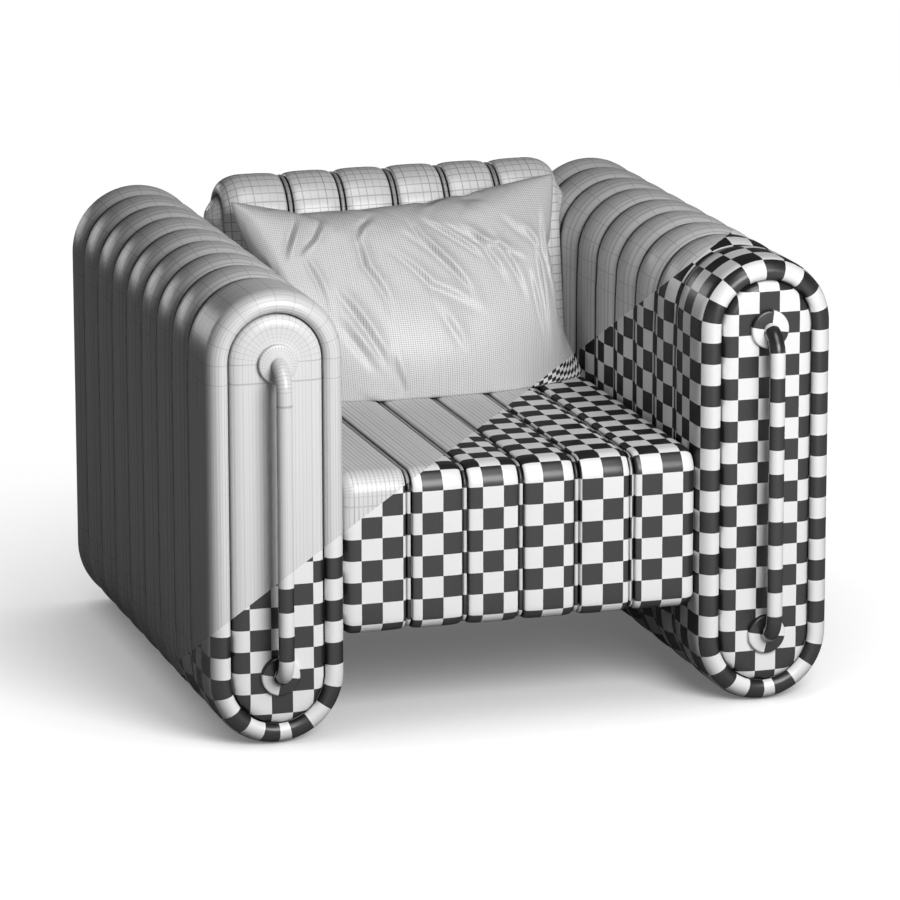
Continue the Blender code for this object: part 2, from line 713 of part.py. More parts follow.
def make_side_pad(side_name, side, rod_holes):
    """Pad in the back's end, level with the rim around it."""
    levels = [(FRAME_HALF - BACK_POCKET, 0)]
    for across, along in arc(0, 0, 1, 0, 90, SIDE_PAD_STEPS):
        levels.append((FRAME_HALF - SIDE_PAD_EDGE * (1 - along), SIDE_PAD_EDGE * (1 - across)))
    bm = bmesh.new()
    loft(bm, [[(side * x, *back_point(w, v)) for w, v in pad_outline(inset + GAP)] for x, inset in levels])
    pad = finish(bm, f"back_{side_name}_side_pad", CLOTH, smooth=True)
    cut(pad, rod_holes)


def make_back(rod_holes):
    """Channelled back quilt with its pads, frame and webbing."""
    bm = bmesh.new()
    columns = quilt_columns(FRAME_HALF, BACK_CHANNEL, BACK_END_ROLL, BACK_END_DROP, BACK_END_STEPS)
    loft(bm, [back_ring(x, inset) for x, inset in columns])
    quilt = finish(bm, "back_quilt", CLOTH, smooth=True)
    for side_name, side in SIDES:
        bm = bmesh.new()
        levels = (side * (FRAME_HALF - BACK_POCKET - GAP), side * (FRAME_HALF + OVERRUN))
        loft(bm, [[(x, *back_point(w, v)) for w, v in pad_outline(0)] for x in levels])
        cut(quilt, finish(bm, side_name + "_side_pocket"))
        make_side_pad(side_name, side, rod_holes)
    rail_half = UPRIGHT_OUTER - BACK_UPRIGHT - GAP
    top = CAVITY_TOP - GAP
    front = FRAME_FRONT_W
    rear = FRAME_REAR_W
    boxes = {
        "back_top_rail": ((-rail_half, front, top - BACK_RAIL_HEIGHT), (rail_half, rear, top)),
        "back_bottom_rail": ((-rail_half, front, BACK_RAIL_RISE),
                             (rail_half, rear, BACK_RAIL_RISE + BACK_RAIL_HEIGHT)),
        "back_right_upright": ((-UPRIGHT_OUTER, front, 0), (BACK_UPRIGHT - UPRIGHT_OUTER, rear, top)),
        "back_left_upright": ((UPRIGHT_OUTER - BACK_UPRIGHT, front, 0), (UPRIGHT_OUTER, rear, top)),
    }
    for name, (low, high) in boxes.items():
        bm = bmesh.new()
        box(bm, low, high)
        piece = finish(bm, name, BEECH)
        set_in_back(piece)
        cut(piece, rod_holes)
    low = BACK_RAIL_RISE + BACK_RAIL_HEIGHT
    high = top - BACK_RAIL_HEIGHT
    slots = [((start, CAVITY_FRONT - OVERRUN, low), (stop, STRAP_REAR + OVERRUN, high))
             for start, stop in slot_spans(rail_half, BACK_STRAPS)]
    band = slotted_band("back_webbing", (-rail_half, CAVITY_FRONT + GAP, BACK_RAIL_RISE),
                        (rail_half, STRAP_REAR, top), slots)
    for piece in band:
        set_in_back(piece)


def set_in_back(obj):
    """Lean a piece that is modelled upright with the back."""
    obj.location = (0, BACK_ORIGIN_Y, BACK_ORIGIN_Z)
    obj.rotation_euler = (-BACK_LEAN, 0, 0)


def pillow_point(u, v, face, seam_inset, face_inset):
    """Point of the pillow before it leans. u and v run from -1 to 1, face is -1 in front and 1 behind."""
    half_width = PILLOW_WIDTH / 2 - seam_inset
    half_height = PILLOW_HEIGHT / 2 - seam_inset
    x = u * (half_width - PILLOW_DRAW_IN * (1 - v * v))
    top_draw = PILLOW_DRAW_IN * (1 - u * u) * max(v, 0)
    z = v * half_height - top_draw
    depth = (PILLOW_FRONT if face < 0 else PILLOW_REAR) - face_inset
    fullness = math.sqrt(1 - u * u) * math.sqrt(1 - abs(v) ** 3) * (1 - PILLOW_LOW_SHARE * v)
    return Vector((x, face * depth * fullness, z))


def pillow_panels(seam_inset=0.0, face_inset=0.0, slit=0.0):
    """Two panels sewn on their edges, the front and the rear. A slit can be left in the lower seam."""
    bm = bmesh.new()
    for face in (-1, 1):
        grid = bmesh.ops.create_grid(bm, x_segments=PILLOW_COLUMNS, y_segments=PILLOW_ROWS, size=1)
        for vert in grid["verts"]:
            u, v = vert.co.x, vert.co.y
            u = math.sin(u * math.pi / 2)
            v = math.sin(v * math.pi / 2)
            vert.co = pillow_point(u, v, face, seam_inset, face_inset)
            if slit and v < WELD - 1 and abs(u) < COVER_SLIT_SHARE:
                vert.co.y = face * slit
        if face > 0:
            behind = {item for vert in grid["verts"] for item in vert.link_faces}
            bmesh.ops.reverse_faces(bm, faces=list(behind))
    bmesh.ops.remove_doubles(bm, verts=bm.verts[:], dist=WELD)
    return bm


def lean_pillow(bm, shift):
    """Lean the pillow against the back and move it to its place."""
    bmesh.ops.rotate(bm, cent=(0, 0, 0), matrix=Matrix.Rotation(-PILLOW_LEAN, 3, "X"), verts=bm.verts[:])
    bmesh.ops.translate(bm, vec=shift, verts=bm.verts[:])


def pillow_shift():
    """Where the leaning pillow stands: on the seat's crests, against the back's crests."""
    bm = pillow_panels(slit=COVER_SLIT)
    lean_pillow(bm, (0, 0, 0))
    rise = SEAT_TOP + GAP - min(vert.co.z for vert in bm.verts)
    tilt = math.tan(BACK_LEAN)
    foot_y = back_front_y(0)
    room = min(foot_y + (vert.co.z + rise) * tilt - vert.co.y for vert in bm.verts)
    bm.free()
    return (0, room - GAP / math.cos(BACK_LEAN), rise)


def make_pillow():
    """Loose pillow: a cover with a slit in its lower seam, and the filled insert in it."""
    shift = pillow_shift()
    bm = pillow_panels(slit=COVER_SLIT)
    lean_pillow(bm, shift)
    cover = finish(bm, "pillow_cover", PILLOW_CLOTH, smooth=True)
    shell = cover.modifiers.new("cloth", "SOLIDIFY")
    shell.thickness = COVER_THICKNESS
    shell.offset = -1
    bm = pillow_panels(INSERT_SEAM_INSET, COVER_THICKNESS + INSERT_CLEARANCE)
    lean_pillow(bm, shift)
    finish(bm, "pillow_insert", FOAM, smooth=True)


ROD_HOLES = make_tie_rods()
make_arms(ROD_HOLES)
make_seat(ROD_HOLES)
make_back(ROD_HOLES)
make_pillow()
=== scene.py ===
"""Looks of the armchair: slab arms, channelled seat and back, grab bars and a loose pillow.

Metres, +Z up, the chair faces -Y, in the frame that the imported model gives.
"""
import math

import bmesh
import bpy
import numpy as np
from mathutils import Matrix, Vector


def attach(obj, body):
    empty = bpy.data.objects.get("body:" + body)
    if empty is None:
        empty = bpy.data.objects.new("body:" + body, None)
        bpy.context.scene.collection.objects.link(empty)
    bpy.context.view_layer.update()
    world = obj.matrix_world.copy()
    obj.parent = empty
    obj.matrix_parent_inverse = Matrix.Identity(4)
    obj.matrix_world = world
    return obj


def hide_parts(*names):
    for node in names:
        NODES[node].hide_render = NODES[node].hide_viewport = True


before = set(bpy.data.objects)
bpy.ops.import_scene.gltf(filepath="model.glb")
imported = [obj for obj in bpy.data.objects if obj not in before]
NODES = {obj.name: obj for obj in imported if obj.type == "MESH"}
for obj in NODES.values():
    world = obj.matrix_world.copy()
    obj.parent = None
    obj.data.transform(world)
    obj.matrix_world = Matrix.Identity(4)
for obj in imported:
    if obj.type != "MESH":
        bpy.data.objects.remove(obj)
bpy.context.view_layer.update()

# Camera. The picture is taken from ahead of the right arm and a little above the chair, through a
# long lens, and fills a square frame of 900 pixels.
EYE = Vector((-2.42696, -7.89500, 2.38065))
AIM = Vector((0.0172, 0.02555, 0.3245))
FOCAL_PIXELS = 5359.94
PICTURE = 900
CAMERA_ROLL = math.radians(-0.09)
SENSOR = 36.0


def new_object(name, data):
    """A new object in the scene, at the origin until it is moved."""
    thing = bpy.data.objects.new(name, data)
    bpy.context.scene.collection.objects.link(thing)
    return thing


lens = bpy.data.cameras.new("studio_camera")
lens.sensor_width = SENSOR
lens.lens = FOCAL_PIXELS / PICTURE * SENSOR
camera = new_object("studio_camera", lens)
VIEW = (AIM - EYE).to_track_quat("-Z", "Y").to_matrix() @ Matrix.Rotation(CAMERA_ROLL, 3, "Z")
camera.matrix_world = Matrix.Translation(EYE) @ VIEW.to_4x4()
bpy.context.scene.camera = camera
bpy.context.scene.view_settings.view_transform = "Standard"

# Lamp. One broad round soft box stands close ahead of the chair, above it and a little to its left,
# so that its light falls off from the chair's front to its back. Its strength is what the front gets.
LAMP_SIDE = math.radians(10)
LAMP_HEIGHT = math.radians(30)
LAMP_DISTANCE = 3.0
LAMP_RADIUS = 0.90
LAMP_STRENGTH = 3.62
LAMP_AIM = Vector((0.0, -0.42, 0.35))


def direction(side, height):
    """Unit vector at a height, turned by side from straight ahead of the chair towards +X."""
    return Vector((math.sin(side) * math.cos(height), -math.cos(side) * math.cos(height),
                   math.sin(height)))


TO_LAMP = direction(LAMP_SIDE, LAMP_HEIGHT)
lamp = bpy.data.lights.new("soft_box", "AREA")
lamp.shape = "DISK"
lamp.size = 2 * LAMP_RADIUS
lamp.energy = LAMP_STRENGTH * math.pi * (LAMP_RADIUS ** 2 + LAMP_DISTANCE ** 2)
soft_box = new_object("soft_box", lamp)
soft_box.location = LAMP_AIM + LAMP_DISTANCE * TO_LAMP
soft_box.rotation_euler = TO_LAMP.to_track_quat("Z", "Y").to_euler()
soft_box.visible_camera = False

# Gleam lamps. A low strip light behind the chair and to its right puts a soft gleam on the arm's
# outer shoulder, and one ahead, high up, on every edge that rolls over to the front. Both give gloss
# alone.
RIM_SIDE = math.radians(201)
RIM_HEIGHT = math.radians(3.5)
RIM_SPREAD = math.radians(24)
RIM_STRENGTH = 1.4
TOP_SIDE = math.radians(0)
TOP_HEIGHT = math.radians(66)
TOP_SPREAD = math.radians(34)
TOP_STRENGTH = 1.8

for name, turn, height, spread, strength in (
        ("rear_strip", RIM_SIDE, RIM_HEIGHT, RIM_SPREAD, RIM_STRENGTH),
        ("overhead_strip", TOP_SIDE, TOP_HEIGHT, TOP_SPREAD, TOP_STRENGTH)):
    strip = bpy.data.lights.new(name, "SUN")
    strip.energy = strength
    strip.angle = spread
    strip_light = new_object(name, strip)
    strip_light.rotation_euler = direction(turn, height).to_track_quat("Z", "Y").to_euler()
    strip_light.visible_diffuse = False

# Studio. A pale painted floor runs into a white surround. The ceiling and the room behind the camera
# are dark, so that the chair's far sides stay deep grey. The floor also glows white to the lens where
# the sky over it is open; where the chair closes it off, ambient occlusion darkens that glow, a painted
# shadow on top of the lamp's own shadow.
ROOM_GLOW = 0.029
WALL_TOP = 0.40
WALL_FOOT = 0.10
PURE_WHITE = (1.0, 1.0, 1.0, 1.0)
GLOSS_SHARE = 0.75
FLOOR_SIZE = 60.0
FLOOR_ALBEDO = 0.10
FLOOR_PAINT = 0.72
FLOOR_GLOW = 0.98
PAINTED_SHADE_REACH = 1.0
PAINTED_SHADE_POWER = 1.6
PAINTED_SHADE_LIFT = 0.12


def add_node(tree, kind, settings=None, inputs=None):
    """Add one shader node with its settings. An input is a value, a socket to link from, or a node to
    link from by its first output in use."""
    node = tree.nodes.new("ShaderNode" + kind)
    for key, value in (settings or {}).items():
        setattr(node, key, value)
    for key, value in (inputs or {}).items():
        if isinstance(value, bpy.types.Node):
            value = next(socket for socket in value.outputs if socket.enabled)
        if isinstance(value, bpy.types.NodeSocket):
            tree.links.new(value, node.inputs[key])
        else:
            node.inputs[key].default_value = value
    return node


def new_tree(name):
    """An empty material and its node tree."""
    material = bpy.data.materials.new(name)
    material.use_nodes = True
    material.node_tree.nodes.clear()
    return material, material.node_tree


def seen_share(tree, mirrored):
    """1 for what the lens sees straight or through a pane, GLOSS_SHARE * mirrored for what the chair
    mirrors, and 0 for the light that falls on the chair."""
    rays = add_node(tree, "LightPath")
    share = add_node(tree, "Math", {"operation": "MULTIPLY"},
                     {0: rays.outputs["Is Glossy Ray"], 1: mirrored})
    share = add_node(tree, "Math", {"operation": "MULTIPLY"}, {0: share, 1: GLOSS_SHARE})
    for kind in ("Is Camera Ray", "Is Transmission Ray"):
        share = add_node(tree, "Math", {"operation": "MAXIMUM"}, {0: share, 1: rays.outputs[kind]})
    return share


world = bpy.data.worlds.new("studio_room")
world.use_nodes = True
bpy.context.scene.world = world
room = world.node_tree
room.nodes.clear()
heading = add_node(room, "TexCoord")
height = add_node(room, "SeparateXYZ", None, {0: heading.outputs["Generated"]})
wall = add_node(room, "MapRange", {"interpolation_type": "SMOOTHSTEP"},
                {"Value": height.outputs["Z"], "From Min": WALL_TOP, "From Max": WALL_FOOT})
glow = add_node(room, "MapRange", None, {"Value": seen_share(room, wall), "To Min": ROOM_GLOW})
air = add_node(room, "Background", None, {"Color": PURE_WHITE, "Strength": glow})
add_node(room, "OutputWorld", None, {"Surface": air})

floor_paint, tree = new_tree("floor_white_sweep_paint")
seen = seen_share(tree, 1.0)
paint = add_node(tree, "MapRange", None,
                 {"Value": seen, "To Min": FLOOR_ALBEDO, "To Max": FLOOR_PAINT})
matt = add_node(tree, "BsdfDiffuse", None, {"Color": paint})
# Painted shadow: ambient occlusion dims the floor's glow to the lens under and beside the chair, never
# below a small share of it.
painted_floor_shade = add_node(tree, "AmbientOcclusion", {"samples": 8}, {"Distance": PAINTED_SHADE_REACH})
painted_floor_shade = add_node(tree, "Math", {"operation": "POWER"},
                    {0: painted_floor_shade.outputs["AO"], 1: PAINTED_SHADE_POWER})
painted_floor_shade = add_node(tree, "MapRange", None, {"Value": painted_floor_shade, "To Min": PAINTED_SHADE_LIFT})
pale = add_node(tree, "Math", {"operation": "MULTIPLY"}, {0: painted_floor_shade, 1: seen})
pale = add_node(tree, "Math", {"operation": "MULTIPLY"}, {0: pale, 1: FLOOR_GLOW})
sheet = add_node(tree, "Emission", None, {"Color": PURE_WHITE, "Strength": pale})
both = add_node(tree, "AddShader", None, {0: matt, 1: sheet})
add_node(tree, "OutputMaterial", None, {"Surface": both})

half = FLOOR_SIZE / 2
mesh = bpy.data.meshes.new("studio_floor")
corners = [(-half, -half, 0), (half, -half, 0), (half, half, 0), (-half, half, 0)]
mesh.from_pydata(corners, [], [(0, 1, 2, 3)])
mesh.materials.append(floor_paint)
studio_floor = new_object("studio_floor", mesh)

# Upholstery cloth. The whole chair wears one satin-woven polyester, printed on two sides of one
# straight line: pale grey with fine thread lines above it, black and white checks below it. Satin is
# smooth, so the print stays crisp and rounded edges catch a soft bright streak.
CELL = 0.0330
COAT = 0.15
COAT_IOR = 3.2
PRINT_EDGE = ((170.3, 667.2), (744.3, 221.9))
GREY = "#D9D9D9"
THREAD = "#4A4A4A"
WHITE = "#E9E9E9"
BLACK = "#262626"
# Painted shade: the near black that the print is darkened towards in the creases of seams and grooves.
PAINTED_SEAM_SHADE = "#161616"
SHADE = 0.93
SLUB = 0.0072
SLUB_DETAIL = 3.0
SLUB_RELIEF = 0.0004
SLUB_STRENGTH = 0.12
SATIN_SPREAD = 0.05
FIBRE_IOR = 1.46


def linear(code):
    """Linear colour of an sRGB hex code: c/12.92 up to 0.04045, above it ((c + 0.055)/1.055)^2.4."""
    values = np.array([int(code[i:i + 2], 16) / 255 for i in (1, 3, 5)])
    values = np.where(values <= 0.04045, values / 12.92, ((values + 0.055) / 1.055) ** 2.4)
    return (*values.tolist(), 1.0)


def sight_line(x, y):
    """Direction from the lens through one pixel of the picture."""
    return VIEW @ Vector(((x - PICTURE / 2) / FOCAL_PIXELS, (PICTURE / 2 - y) / FOCAL_PIXELS, -1.0))


PRINT_NORMAL = sight_line(*PRINT_EDGE[0]).cross(sight_line(*PRINT_EDGE[1])).normalized()
PRINT_OFFSET = PRINT_NORMAL.dot(EYE)


def line_mask(tree, count, half_width):
    """1 on every whole number of a running count, and 0 beyond half_width from it, with soft flanks."""
    away = add_node(tree, "Math", {"operation": "PINGPONG"}, {0: count, 1: 0.5})
    return add_node(tree, "MapRange", {"interpolation_type": "SMOOTHSTEP"},
                    {"Value": away, "From Max": half_width, "To Min": 1.0, "To Max": 0.0})


def satin(name, thread_half, cross_half, thread_depth, cross_depth, roughness=0.34, faintest=0.25):
    """Printed satin. UV map checks counts the checks, UV map threads counts the lines both ways, and
    one more UV map is 1 where painted shade darkens the cloth towards near black, in the crease of a
    seam or groove. Lines along the cloth vary from the faintest share of their depth to all of it. The
    floats throw back about the same share of light from every side, so the gloss is a thin coat of a
    high IOR, and not a rim that brightens towards the edges as on plastic."""
    material, tree = new_tree(name)
    place = add_node(tree, "TexCoord").outputs["Object"]
    reach = add_node(tree, "VectorMath", {"operation": "DOT_PRODUCT"}, {0: place, 1: PRINT_NORMAL})
    checked = add_node(tree, "Math", {"operation": "GREATER_THAN"}, {0: reach, 1: PRINT_OFFSET})
    cells = add_node(tree, "UVMap", {"uv_map": "checks"})
    checks = add_node(tree, "TexChecker", None,
                      {"Vector": cells, "Color1": linear(WHITE), "Color2": linear(BLACK),
                       "Scale": 1.0})
    counts = add_node(tree, "UVMap", {"uv_map": "threads"})
    count = add_node(tree, "SeparateXYZ", None, {0: counts})
    nearest = add_node(tree, "Math", {"operation": "ROUND"}, {0: count.outputs["X"]})
    chance = add_node(tree, "TexWhiteNoise", {"noise_dimensions": "1D"}, {"W": nearest})
    depth = add_node(tree, "MapRange", None,
                     {"Value": chance, "To Min": thread_depth * faintest, "To Max": thread_depth})
    along = add_node(tree, "Math", {"operation": "MULTIPLY"},
                     {0: line_mask(tree, count.outputs["X"], thread_half), 1: depth})
    across = add_node(tree, "Math", {"operation": "MULTIPLY"},
                      {0: line_mask(tree, count.outputs["Y"], cross_half), 1: cross_depth})
    lines = add_node(tree, "Math", {"operation": "MAXIMUM"}, {0: along, 1: across})
    grey = add_node(tree, "Mix", {"data_type": "RGBA"},
                    {"Factor": lines, "A": linear(GREY), "B": linear(THREAD)})
    print_and_painted_shade = add_node(tree, "Mix", {"data_type": "RGBA"},
                      {"Factor": checked, "A": grey, "B": checks})
    # Painted shade: the third UV map darkens the print towards near black in seam and groove creases.
    drawn = add_node(tree, "UVMap", {"uv_map": "painted_shade"})
    drawn = add_node(tree, "SeparateXYZ", None, {0: drawn})
    drawn = add_node(tree, "Math", {"operation": "MULTIPLY"}, {0: drawn.outputs["X"], 1: SHADE})
    print_and_painted_shade = add_node(tree, "Mix", {"data_type": "RGBA"},
                      {"Factor": drawn, "A": print_and_painted_shade, "B": linear(PAINTED_SEAM_SHADE)})
    slub = add_node(tree, "TexNoise", None,
                    {"Vector": place, "Scale": 1 / SLUB, "Detail": SLUB_DETAIL})
    satin_grain = add_node(tree, "MapRange", None,
                           {"Value": slub, "To Min": roughness - SATIN_SPREAD,
                            "To Max": roughness + SATIN_SPREAD})
    relief = add_node(tree, "Bump", None,
                      {"Height": slub, "Strength": SLUB_STRENGTH, "Distance": SLUB_RELIEF})
    skin = add_node(tree, "BsdfPrincipled", None,
                    {"Base Color": print_and_painted_shade, "Roughness": satin_grain,
                     "Normal": relief, "IOR": FIBRE_IOR, "Specular IOR Level": 0.0,
                     "Coat Weight": COAT, "Coat IOR": COAT_IOR, "Coat Roughness": roughness})
    add_node(tree, "OutputMaterial", None, {"Surface": skin})
    return material


WELD = 0.00002
SHARP = math.radians(60)


def joined(*grids):
    """Arrays, spread to one shape and joined along a new last axis: UV pairs, or x, y and z."""
    return np.stack(np.broadcast_arrays(*grids), axis=-1).astype(float)


def smooth(share):
    """0 below 0, 1 above 1, and 3s^2 - 2s^3 between."""
    share = np.clip(share, 0, 1)
    return share * share * (3 - 2 * share)


def cloth_surface(name, points, checks, threads, painted_shade=0.0, rows_meet=False, columns_meet=False):
    """Closed cloth from a grid of points. Each quad joins four neighbours of the grid, and each of its
    corners takes its counts from the same place in checks, threads and the painted shade. The last row
    or column repeats the first where they meet. Points that coincide are welded, open ends get a face,
    and the faces are turned outwards by the sign of the volume."""
    rows, columns = points.shape[:2]
    row_count = rows - 1 if rows_meet else rows
    column_count = columns - 1 if columns_meet else columns
    row = np.arange(rows) % row_count
    column = np.arange(columns) % column_count
    index = row[:, None] * column_count + column[None, :]

    def corners(grid):
        return np.stack([grid[:-1, :-1], grid[1:, :-1], grid[1:, 1:], grid[:-1, 1:]], axis=2)

    mesh = bpy.data.meshes.new(name)
    mesh.from_pydata(points[:row_count, :column_count].reshape(-1, 3), [],
                     corners(index).reshape(-1, 4))
    painted_shade = joined(np.broadcast_to(painted_shade, points.shape[:2]), 0.0)
    for label, counts in (("checks", checks), ("threads", threads), ("painted_shade", painted_shade)):
        layer = mesh.uv_layers.new(name=label)
        layer.data.foreach_set("uv", np.ascontiguousarray(corners(counts), dtype=np.float32).ravel())
    bm = bmesh.new()
    bm.from_mesh(mesh)
    bmesh.ops.remove_doubles(bm, verts=bm.verts[:], dist=WELD)
    bmesh.ops.holes_fill(bm, edges=[edge for edge in bm.edges if edge.is_boundary], sides=0)
    if bm.calc_volume(signed=True) < 0:
        bmesh.ops.reverse_faces(bm, faces=bm.faces[:])
    bm.to_mesh(mesh)
    bm.free()
    mesh.shade_smooth()
    mesh.set_sharp_from_angle(angle=SHARP)
    return new_object(name, mesh)


MOST_LINES = 400
LINE_VARY = 0.4


def thread_count(along, pitch, seed):
    """Lines passed at each distance. A gap is the pitch, more or less by up to the share LINE_VARY."""
    gaps = np.random.default_rng(seed).uniform(1 - LINE_VARY, 1 + LINE_VARY, MOST_LINES) * pitch
    return np.interp(along, np.concatenate(([0.0], np.cumsum(gaps))), np.arange(MOST_LINES + 1.0))


def upholster(piece, cloth, node, body="chair"):
    """Dress a padded piece: its cloth, its body, and hiding the solid it stands for."""
    piece.data.materials.append(cloth)
    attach(piece, body)
    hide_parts(node)


# Arm slabs. Each arm is nine foam slabs with a hole through the middle for the rails, and each slab
# has a satin cover that is drawn tight into the seam at both its faces. The end slabs roll over into
# a rim round a pocket.
ARM_HEIGHT = 0.7000
ARM_HALF = 0.1063
ARM_X = 0.3887
FRONT_Y = -0.42095
REAR_Y = 0.47205
FRONT_SLAB = 0.1425
MIDDLE_SLAB = 0.0960
MIDDLE_SLABS = 7
SLAB_CROWN = 0.0090
CROWN_POWER = 2.4
STRAIGHT_CROWN = 0.70
CROWN_FADE = 0.0500
SEAM_ROLL = 0.0020
# Painted shade: how wide the darkened band beside each slab seam is, and over how much it fades.
SEAM_SHADE_WIDTH = 0.0034
SEAM_SHADE_FADE = 0.0012
SEAM_DEPTH = 0.0180
FOAM_WALL = 0.0280
POCKET_WALL = 0.0350
LINING = 0.0015
HALF_GAP = 0.0006
SOLE = 0.0005
LEAST_FLAT = 0.0050
RIM_WIDTH = 0.0327
RIM_ROLL_WIDTH = 0.0210
RIM_ROLL_DEPTH = 0.0300
RIM_INNER_DEPTH = 0.0120
POCKET = 0.0400
# Painted shade at half strength, in the rim's pocket and in the grooves round the panels and pads.
RIM_SHADE = 0.5
RIM_CHECK = 0.0445
END_RUN = 0.1717
REAR_CHECKS = 3.0
CROWN_TAKES = 0.0040
RIB_THREADS = 0.0130
RIM_THREADS = 0.0050
ARC_STEPS = 20
STRAIGHT_STEPS = 14
QUARTER = math.pi / 2 * ARM_HALF
STRAIGHT = ARM_HEIGHT - 2 * ARM_HALF

TURN = np.radians(np.concatenate((
    np.linspace(-90, -180, ARC_STEPS + 1), np.full(STRAIGHT_STEPS - 1, -180),
    np.linspace(-180, -360, 2 * ARC_STEPS + 1), np.full(STRAIGHT_STEPS - 1, -360),
    np.linspace(-360, -450, ARC_STEPS + 1))))
CLIMB = np.concatenate((
    np.zeros(ARC_STEPS + 1), np.linspace(0, 1, STRAIGHT_STEPS + 1)[1:-1],
    np.ones(2 * ARC_STEPS + 1), np.linspace(1, 0, STRAIGHT_STEPS + 1)[1:-1], np.zeros(ARC_STEPS + 1)))


def travel(a, b):
    """Distance along a path, from its first point to each of its points: the sum of hypot(da, db)."""
    return np.concatenate(([0.0], np.cumsum(np.hypot(np.diff(a), np.diff(b)))))


def outline_run(half, straight):
    """Distance round an upright capsule, from its lowest point up its right side and over its top."""
    return half * (TURN[0] - TURN) + straight * travel(CLIMB, np.zeros_like(CLIMB))


def capsule(half, bottom, top, inset):
    """Across and up of an upright capsule, drawn in: arc centre + (half - inset) * normal."""
    radius = half - np.atleast_2d(inset)
    middle = bottom + half + CLIMB[:, None] * (top - bottom - 2 * half)
    return radius * np.cos(TURN)[:, None], middle + radius * np.sin(TURN)[:, None]


GIRTH = outline_run(ARM_HALF, STRAIGHT)
ARC_FOOT = QUARTER
ARC_HEAD = QUARTER + STRAIGHT
ARC_TAIL = 3 * QUARTER + STRAIGHT
ARC_HEEL = 3 * QUARTER + 2 * STRAIGHT
WHOLE = 4 * QUARTER + 2 * STRAIGHT
DEGREE = math.radians(1) * ARM_HALF
GIRTH_CHECKS = np.interp(
    GIRTH,
    (0.0, 16.8 * DEGREE, ARC_FOOT + 0.0045, ARC_HEAD + 8 * DEGREE, ARC_TAIL + 0.0097,
     ARC_HEEL - 0.0153, WHOLE - 11.5 * DEGREE, WHOLE),
    (0.11, 1.0, 5.0, 20.0, 29.0, 43.0, 47.0, 47.53))
# Cross lines: one each 18 degrees of an arc and one 30 mm beyond its ends, none on the straights.
LAST_LINE = 0.030
CLEAR = 0.040
GIRTH_LINES = np.interp(
    GIRTH,
    (0.0, ARC_FOOT, ARC_FOOT + LAST_LINE, ARC_FOOT + CLEAR, ARC_HEAD - CLEAR, ARC_HEAD - LAST_LINE,
     ARC_HEAD, ARC_TAIL, ARC_TAIL + LAST_LINE, ARC_TAIL + CLEAR, ARC_HEEL - CLEAR,
     ARC_HEEL - LAST_LINE, ARC_HEEL, WHOLE),
    (0.0, 5.0, 6.0, 6.35, 6.65, 7.0, 8.0, 18.0, 19.0, 19.35, 19.65, 20.0, 21.0, 26.0))
# A slab swells more where it is bent than along its straight sides.
CROWN_SHARE = 1 - (1 - STRAIGHT_CROWN) * smooth(np.minimum(CLIMB, 1 - CLIMB) * STRAIGHT / CROWN_FADE)


def crown(share):
    """How far a slab is drawn in: nothing at its middle, the full crown at its seams."""
    return SLAB_CROWN * np.abs(share) ** CROWN_POWER


def half_slab(middle, reach):
    """Profile of half a slab, from its middle to its seam, as y, inset and the crown's part in it:
    crown, quarter roll and seam wall."""
    way = math.copysign(1, reach)
    # Stations at both edges of the painted seam shade and at the start of the roll.
    seam_stations = 1 - np.array([SEAM_SHADE_WIDTH + SEAM_SHADE_FADE, SEAM_SHADE_WIDTH, SEAM_ROLL]) / abs(reach)
    share = np.concatenate((np.linspace(0, 0.9 * seam_stations[0], 9), seam_stations))
    drop = crown(share[-1])
    bend = np.radians(np.linspace(90, 0, 5))[1:]
    y = np.concatenate((middle + reach * share, middle + reach - way * SEAM_ROLL * (1 - np.cos(bend)),
                        [middle + reach]))
    crowned = np.concatenate((crown(share), np.full(len(bend), drop), [0.0]))
    inset = crowned + np.concatenate((np.zeros(len(share)), SEAM_ROLL * (1 - np.sin(bend)),
                                      [SEAM_DEPTH]))
    return y, inset, crowned


def slab_cover(name, side, y, inset, crowned, checks_from, check_stops, seed, end):
    """One slab cover: the closed profile (y, inset) carried round the arm's outline."""
    across, up = capsule(ARM_HALF, 0.0, ARM_HEIGHT, inset - crowned * (1 - CROWN_SHARE[:, None]))
    points = joined(side * ARM_X + across, y[None, :], np.maximum(up, SOLE))
    # Painted shade: the cover darkens towards near black in a band beside each seam, as shade in its
    # crease, and at half strength on the rim's walls down in the pocket.
    near = np.abs(y[None, :] - SEAMS[:, None]).min(axis=0)
    painted_shade = smooth((SEAM_SHADE_WIDTH + SEAM_SHADE_FADE - near) / SEAM_SHADE_FADE)
    pocket = np.minimum(np.abs(y - FRONT_Y), np.abs(y - REAR_Y))
    hidden = (inset >= RIM_WIDTH - WELD) & (pocket > RIM_INNER_DEPTH - WELD)
    painted_shade = np.maximum(painted_shade, RIM_SHADE * hidden)
    run = travel(y, inset)
    rows = checks_from + np.interp(run, *check_stops)
    checks = joined(GIRTH_CHECKS[:, None], rows[None, :])
    rim = FRONT_SLAB - MIDDLE_SLAB / 2 if end else 0.0
    count = thread_count(np.minimum(run, rim), RIM_THREADS, seed) \
        + thread_count(np.maximum(run - rim, 0), RIB_THREADS, seed)
    threads = joined(count[None, :], GIRTH_LINES[:, None])
    return cloth_surface(name, points, checks, threads, painted_shade[None, :],
                         rows_meet=True, columns_meet=True)


